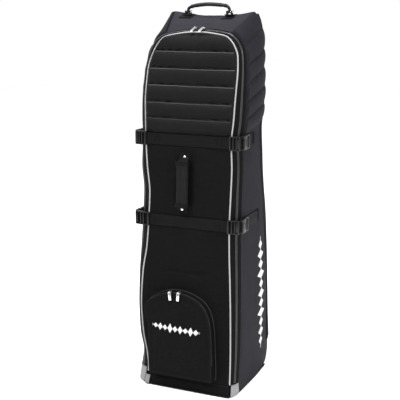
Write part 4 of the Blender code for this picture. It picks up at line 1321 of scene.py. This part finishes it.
def make_top_handle(roof):
    low, high = HANDLE_X
    y, top = HANDLE_Y, HANDLE_Z + 0.0265
    points = [(low, y, HANDLE_Z - 0.0030), (low, y, HANDLE_Z + 0.0085),
              (low + 0.0030, y, top - 0.0135), (low + 0.0110, y, top - 0.0090),
              (low + 0.030, y, top - 0.0045), ((low + high) / 2, y, top - 0.0005),
              (high - 0.030, y, top - 0.0030), (high - 0.0100, y, top - 0.0062),
              (high - 0.0030, y, top - 0.0120), (high, y, HANDLE_Z + 0.0075),
              (high, y, HANDLE_Z - 0.0030)]
    path = resample(points, 0.002)
    span = np.abs(path[:, 0] - (low + high) / 2) / (high - low) * 2
    leg = smooth(top - 0.010, HANDLE_Z + 0.004, path[:, 2])
    radii = 0.0050 + 0.0014 * (1 - smooth(0.55, 0.85, span)) - 0.0002 * leg
    settle(sweep("carry_handle", path, radii, MOULD, 16, (0, 1, 0)), "top_handle", "top_handle",
           slot="moulding")
    run = run_length(path)
    rings = [("handle_collar_%d" % k, share, 0.0017, 0.0058, MOULD)
             for k, share in enumerate((0.155, 0.185, 0.815, 0.845))]
    rings += [("handle_rib_%d" % k, 0.5 + (k - 4) * 0.055, 0.0010, 0.0064, TYRE)
              for k in range(9)]
    for name, share, half, rim, look in rings:
        spots = read_at(path, run, run[-1] * share + np.array([-half, 0.0, half]))
        settle(sweep(name, spots, (rim, 0.0070, rim), look, 18, (0, 1, 0)), "top_handle",
               slot="moulding")
    for side, x in zip(SIGN, HANDLE_X):
        make_handle_anchor(side, x, roof)


def make_handle_anchor(side, x, roof):
    """The moulded foot, pin, plinth and sewn pad at one end of the top handle."""
    y, z = HANDLE_Y, HANDLE_Z
    anchor = Block().box((-0.0150, -0.0110, -0.0090), (0.0150, 0.0110, -0.0068), 0.0008)
    anchor.pair((0.0064, -0.0080, -0.0075), (0.0102, 0.0080, 0.0050), 0.0012, axis=0)
    settle(anchor.done("anchor_" + side, MOULD, Matrix.Translation((x, y, z))), "shell",
           "top_handle_anchor_" + side, slot="moulding")
    pin = stack(x + np.array([-0.0112, -0.0106, 0.0106, 0.0112]), y, z)
    settle(sweep("anchor_pin_" + side, pin, (0.0020, 0.0029, 0.0029, 0.0020), CHROME, 14),
           "shell", slot="steel")
    xs, ys = np.meshgrid(np.linspace(x - 0.020, x + 0.020, 18),
                         np.linspace(y - 0.034, y + 0.022, 24), indexing="ij")
    pad = drape(roof, stack(xs, ys, 1.40), (0, 0, -1), 0.0012)
    settle(grid_solid("handle_pad_" + side, pad + np.array([0, 0, 0.0012]),
                      pad - np.array([0, 0, 0.0030]), [WEB, WEB]), "shell", slot="webbing")
    deck = float(np.max(pad[..., 2]))
    plinth = Block().box((x - 0.0130, y - 0.0095, min(deck - 0.004, z - 0.0110)),
                         (x + 0.0130, y + 0.0095, z - 0.0086), 0.0008)
    settle(plinth.done("anchor_plinth_" + side, MOULD), "shell", slot="moulding")
    for k, inset in enumerate((-0.030, 0.018)):
        edge = drape(roof, stack(np.linspace(x - 0.016, x + 0.016, 20), y + inset, 1.40),
                     (0, 0, -1), 0.0028)
        make_stitches("pad_stitch_%s_%d" % (side, k), "shell", edge)


# ---------------------------------------------------------------- base and wheels

def make_corner_patches():
    for side, top in PATCH_TOP.items():
        rows, cols = 34, 46
        grid = np.zeros((rows, cols, 3))
        for i, height in enumerate(np.linspace(0.0052, top, rows)):
            u = loop_at(side, height)
            reach = 0.052 - 0.010 * (height / top) - 0.0035 * smooth(0.8, 1.0, height / top)
            total = float(back_y(height) - front_y(height)) - BAND
            depths = np.linspace(0.0050, reach, cols)
            front = band_point(np.full(cols, u), np.minimum(depths, BAND))
            wall = wall_point(np.full(cols, u), np.maximum(depths - BAND, 0) / total)
            grid[i] = np.where((depths <= BAND)[:, None], front, wall)
            grid[i, :, 2] = height
        n = normals(grid)
        n = n * np.sign(np.mean(n[..., 0]) * SIGN[side])
        rise = 0.0018 + ripple(grid, 40.0, 71) * 0.0007
        edge = np.ones((rows, cols))
        edge[-1] = edge[:, -1] = edge[:, 0] = 0.3
        piece = grid_solid("corner_patch_" + side + "_cloth", grid + n * (rise * edge)[..., None],
                           grid - n * 0.0006, [PATCH, PATCH])
        settle(piece, "shell", "corner_patch_" + side, slot="patch")
        if side == "left":
            heights = np.linspace(0.0052, HINGE_Z - 0.0070, 24)[:, None]
            reach_in = np.linspace(-0.004, 0.013, 12)
            lift = 0.0072 - 0.0030 * smooth(0.004, -0.004, reach_in)
            edge_x = station(loop_at(side, heights))[0]
            flat = stack(edge_x + reach_in, front_y(heights) - lift, heights)
            settle(grid_solid("corner_patch_return", flat, flat + np.array([0, 0.0016, 0]),
                              [PATCH, PATCH]), "shell", slot="patch")
        inset = grid[2:-3, 3:-4] + n[2:-3, 3:-4] * 0.0021
        loop = np.concatenate([inset[-1], inset[::-1, -1]])
        make_stitches("patch_stitch_" + side, "shell", loop)
        hem = grid[-1] + n[-1] * 0.0012
        settle(sweep("patch_hem_" + side, hem, 0.0013, CORD, 8), "shell", slot="dark_piping")


def make_sill():
    """The fixed strip of front under the hinge, with its seam and the welt at its foot."""
    x, z = np.linspace(-0.1345, 0.1655, 120), np.linspace(0.0046, HINGE_Z - 0.0004, 20)
    xx, zz = np.meshgrid(x, z, indexing="ij")
    t = (zz - z[0]) / (z[-1] - z[0])
    xx = xx - (0.165 - xx) / 0.300 * (0.0135 - 0.0075 * t)
    rise = 0.0040 * np.sin(pi * t) ** 0.8 + ripple(stack(xx, 0 * xx, zz), 24.0, 81) * 0.0010
    rise = rise * smooth(1.0, 0.70, t)
    settle(grid_solid("front_sill_cloth", stack(xx, front_y(zz) - rise, zz),
                      stack(xx, front_y(zz) + 0.005, zz), [FRONT, LINING]), "shell", "front_sill",
           slot="flap_black")
    for name, height, spread, stand, radius, look in (
            ("hinge_seam", HINGE_Z - 0.0035, 0.0065, 0.0003, 0.0009, STITCH),
            ("base_welt", 0.0050, 0.0135, 0.0016, 0.0024, CORD)):
        path = stack(x - (0.165 - x) / 0.300 * spread, front_y(height) - stand, height)
        settle(sweep(name, path, radius, look, 8), "shell", slot="dark_piping")


def make_base_edge():
    """The welts round the foot of the sides, and the ribs on the heel."""
    edges = {"left": [(-0.1475, -0.1640), (-0.166, -0.150), (-0.178, -0.136), (-0.1865, -0.090),
                      (-0.1872, 0.040), (-0.1840, 0.150)],
             "right": [(0.1655, -0.1635), (0.1715, -0.149), (0.1795, -0.110), (0.1822, 0.040),
                       (0.1780, 0.150)]}
    for side, points in edges.items():
        flat = resample(points, 0.004)
        settle(sweep("base_welt_" + side, stack(flat[:, 0], flat[:, 1], 0.0055), 0.0026, CORD, 8),
               "shell", slot="dark_piping")
    ribs = Block()
    for x in (-0.080, -0.045, 0.045, 0.080):
        ribs.box((x - 0.0045, 0.205, 0.026), (x + 0.0045, 0.2150, 0.0860), 0.0018)
    ribs.box((-0.098, 0.206, 0.078), (0.098, 0.2160, 0.0865), 0.0020)
    settle(ribs.done("heel_ribs", MOULD), "shell", slot="moulding")


def make_wheels():
    for side, sign in SIGN.items():
        centre, body = (sign * WHEEL_X, WHEEL_Y, WHEEL_Z), "wheel_" + side
        half = [(0.0225, 0.0096), (0.0285, 0.0118), (0.0316, 0.0108), (0.0331, 0.0072),
                (0.0334, 0.0060), (0.0324, 0.0056), (0.0324, 0.0044), (0.0337, 0.0040)]
        tyre = [(r, -x) for r, x in half] + [(0.0340, 0.0)] + half[::-1]
        settle(revolve("tyre_" + side, tyre, centre, TYRE), body, "wheel_tyre_" + side,
               slot="tyre")
        rim = [(0.0196, -0.0086), (0.0222, -0.0092), (0.0222, 0.0092), (0.0196, 0.0086)]
        settle(revolve("rim_" + side, rim, centre, HUB), body, "wheel_hub_" + side, slot="hub")
        boss = [(0.0113, -0.0106), (0.0140, -0.0100), (0.0150, -0.0060), (0.0150, 0.0060),
                (0.0140, 0.0100), (0.0113, 0.0106)]
        settle(revolve("boss_" + side, boss, centre, HUB), body, slot="hub")
        spokes = Block()
        for k in range(6):
            spokes.box((-0.0042, -0.0024, 0.0140), (0.0042, 0.0024, 0.0202), 0.0008,
                       Matrix.Rotation(2 * pi * k / 6, 4, "X"))
        settle(spokes.done("spokes_" + side, HUB, Matrix.Translation(centre)), body, slot="hub")
        half = [(0.0044, 0.0104), (0.0070, 0.0108), (0.0074, 0.0100), (0.0102, 0.0100),
                (0.0108, 0.0106), (0.0110, 0.0100)]
        ring = [(r, -x) for r, x in half] + half[::-1]
        settle(revolve("bearing_" + side, ring, centre, NICKEL), body, "wheel_bearings_" + side,
               slot="steel")


# ---------------------------------------------------------------- back edges and inside

def make_binding(side):
    """The strip that binds the side panel to the back panel, with its corner cord."""
    half = np.linspace(0, SEAM_LEFT, 900)
    rows = LOOP[:SEAM_LEFT + 1] if side == "left" else LOOP[SEAM_RIGHT:][::-1]
    back_z = spline(np.arange(SEAM_LEFT + 1), rows[:, 5], half)
    u = np.interp(np.linspace(0.092, rows[-1, 5] - 0.012, 240), back_z, half)
    u = u if side == "left" else LAST - u
    columns = [wall_point(u, np.full(len(u), share))
               for share in (0.885, 0.892, 0.925, 0.96, 0.985, 1.0)]
    corner = columns[-1]
    for inward in (0.006, 0.014, 0.026, 0.0275):
        columns.append(stack(corner[:, 0] - SIGN[side] * inward, back_y(corner[:, 2]) + 0.0018,
                             corner[:, 2]))
    grid = np.stack(columns, axis=1)
    n = normals(grid)
    n = n * np.sign(np.mean(n[:, 2, 0]) * SIGN[side])
    stand = np.array([0.0016, 0.0034, 0.0040, 0.0040, 0.0034, 0.0030, 0.0034, 0.0040, 0.0036,
                      0.0016])[None, :, None]
    settle(grid_solid("edge_binding_" + side, grid + n * stand, grid - n * 0.0002,
                      [BINDING, BINDING]), "shell", slot="shell_black")
    settle(sweep("edge_cord_" + side, corner + n[:, 5] * 0.0040, 0.0020, CORD, 8), "shell",
           slot="dark_piping")
    make_stitches("edge_stitch_" + side, "shell", grid[:, 2] + n[:, 2] * 0.0041)


def make_inside():
    """The foam pad under the top, and the strap that goes round the golf bag."""
    crown = wall_point(*np.meshgrid(np.linspace(SEAM_LEFT - 0.35, SEAM_RIGHT + 0.35, 50),
                                    np.linspace(0.10, 0.90, 40), indexing="ij"))
    n = normals(crown)
    n = n * np.sign(np.mean(n[..., 2]))
    pad = grid_solid("crush_pad_cover", crown - n * 0.0115, crown - n * 0.0280, [LINING, LINING])
    pad = inflate(pad, cap=0.0040, voxel=0.005)
    settle(pad, "shell", "crush_pad", slot="foam")
    z, half = 0.70, 0.120
    back = float(back_y(z))
    t = np.linspace(0, 1, 60)
    path = stack(half - 2 * half * t, back - 0.0152 - 0.010 * np.sin(pi * t), z)
    settle(ribbon("bag_strap", path, (0, 0, STRAP_WIDTH), 0.0018, WEB), "shell",
           "inner_bag_strap", slot="webbing")
    hook = Block().box((-0.016, back - 0.0310, z - 0.0220), (0.016, back - 0.0250, z + 0.0220),
                       0.0012)
    settle(hook.done("bag_strap_buckle", BUCKLE), "shell", slot="buckle")


def dress_cad():
    """Node materials for the CAD parts that are shown as they are."""
    looks = {"bottom_panel": MOULD, "base_board": BOARD, "back_stiffener": BOARD,
             "heel_shell": MOULD}
    for side in SIGN:
        looks["wheel_housing_" + side] = MOULD
        looks["wheel_axle_" + side] = NICKEL
    for name, look in looks.items():
        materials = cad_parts[name].data.materials
        materials.clear()
        materials.append(look)


# ---------------------------------------------------------------- stage

def make_stage():
    bpy.ops.mesh.primitive_plane_add(size=14, location=(0, 2.0, 0))
    floor = bpy.context.object
    floor.name = "floor"
    look = bpy.data.materials.new("floor_paint")
    look.use_nodes = True
    shader = look.node_tree.nodes["Principled BSDF"]
    shader.inputs["Base Color"].default_value = (0.97, 0.97, 0.97, 1)
    shader.inputs["Roughness"].default_value = 0.9
    floor.data.materials.append(look)
    world = bpy.data.worlds.new("studio")
    bpy.context.scene.world = world
    world.use_nodes = True
    world.node_tree.nodes["Background"].inputs[0].default_value = (1.0, 1.0, 1.0, 1)
    world.node_tree.nodes["Background"].inputs[1].default_value = 1.0
    bpy.context.scene.view_settings.view_transform = "Standard"
    for name, place, size, power, aim in (
            ("key", (-1.1, -1.9, 3.4), 1.1, 150, (0, 0, 0.9)),
            ("fill", (3.0, -1.2, 1.9), 1.4, 110, (0.1, 0, 0.7)),
            ("top", (0.4, -0.5, 3.6), 0.9, 110, (0, 0, 1.0))):
        lamp = bpy.data.lights.new(name, "AREA")
        lamp.energy, lamp.size = power, size
        item = bpy.data.objects.new(name, lamp)
        item.location = place
        item.rotation_euler = (Vector(aim) - Vector(place)).to_track_quat("-Z", "Y").to_euler()
        bpy.context.collection.objects.link(item)


def make_camera():
    """Seen from the front right, from about the height of the case's top."""
    azimuth, distance, height, pitch = radians(23.75), 2.983, 1.309, radians(12.7)
    lens = bpy.data.cameras.new("camera")
    lens.sensor_width = 36.0
    lens.lens = 79.9
    lens.shift_x = -0.009
    camera = bpy.data.objects.new("camera", lens)
    camera.location = (distance * sin(azimuth), -distance * cos(azimuth), height)
    camera.rotation_euler = (pi / 2 - pitch, 0, azimuth)
    bpy.context.collection.objects.link(camera)
    bpy.context.scene.camera = camera


make_side("left", 0, SEAM_LEFT, 3)
right_side = make_side("right", SEAM_RIGHT, LAST, 11)
roof = make_roof()
make_back()
flap_face = make_flap_face()
make_quilt_seams(flap_face)
make_pipings()
make_zip()
for row in STRAP_Z:
    make_front_webbing(row)
    for side in SIGN:
        make_side_strap(row, side)
        make_buckle(row, side)
make_front_handle()
make_pocket(flap_face)
make_sliders()
make_top_handle(surface(roof))
make_corner_patches()
make_sill()
make_base_edge()
make_wheels()
for side in SIGN:
    make_binding(side)
make_motif("side_motif", "shell", surface(right_side), (0.088, 0.105), (0.084, 0.495), 0.078, 11,
           on_side=True)
make_inside()
dress_cad()
make_stage()
make_camera()
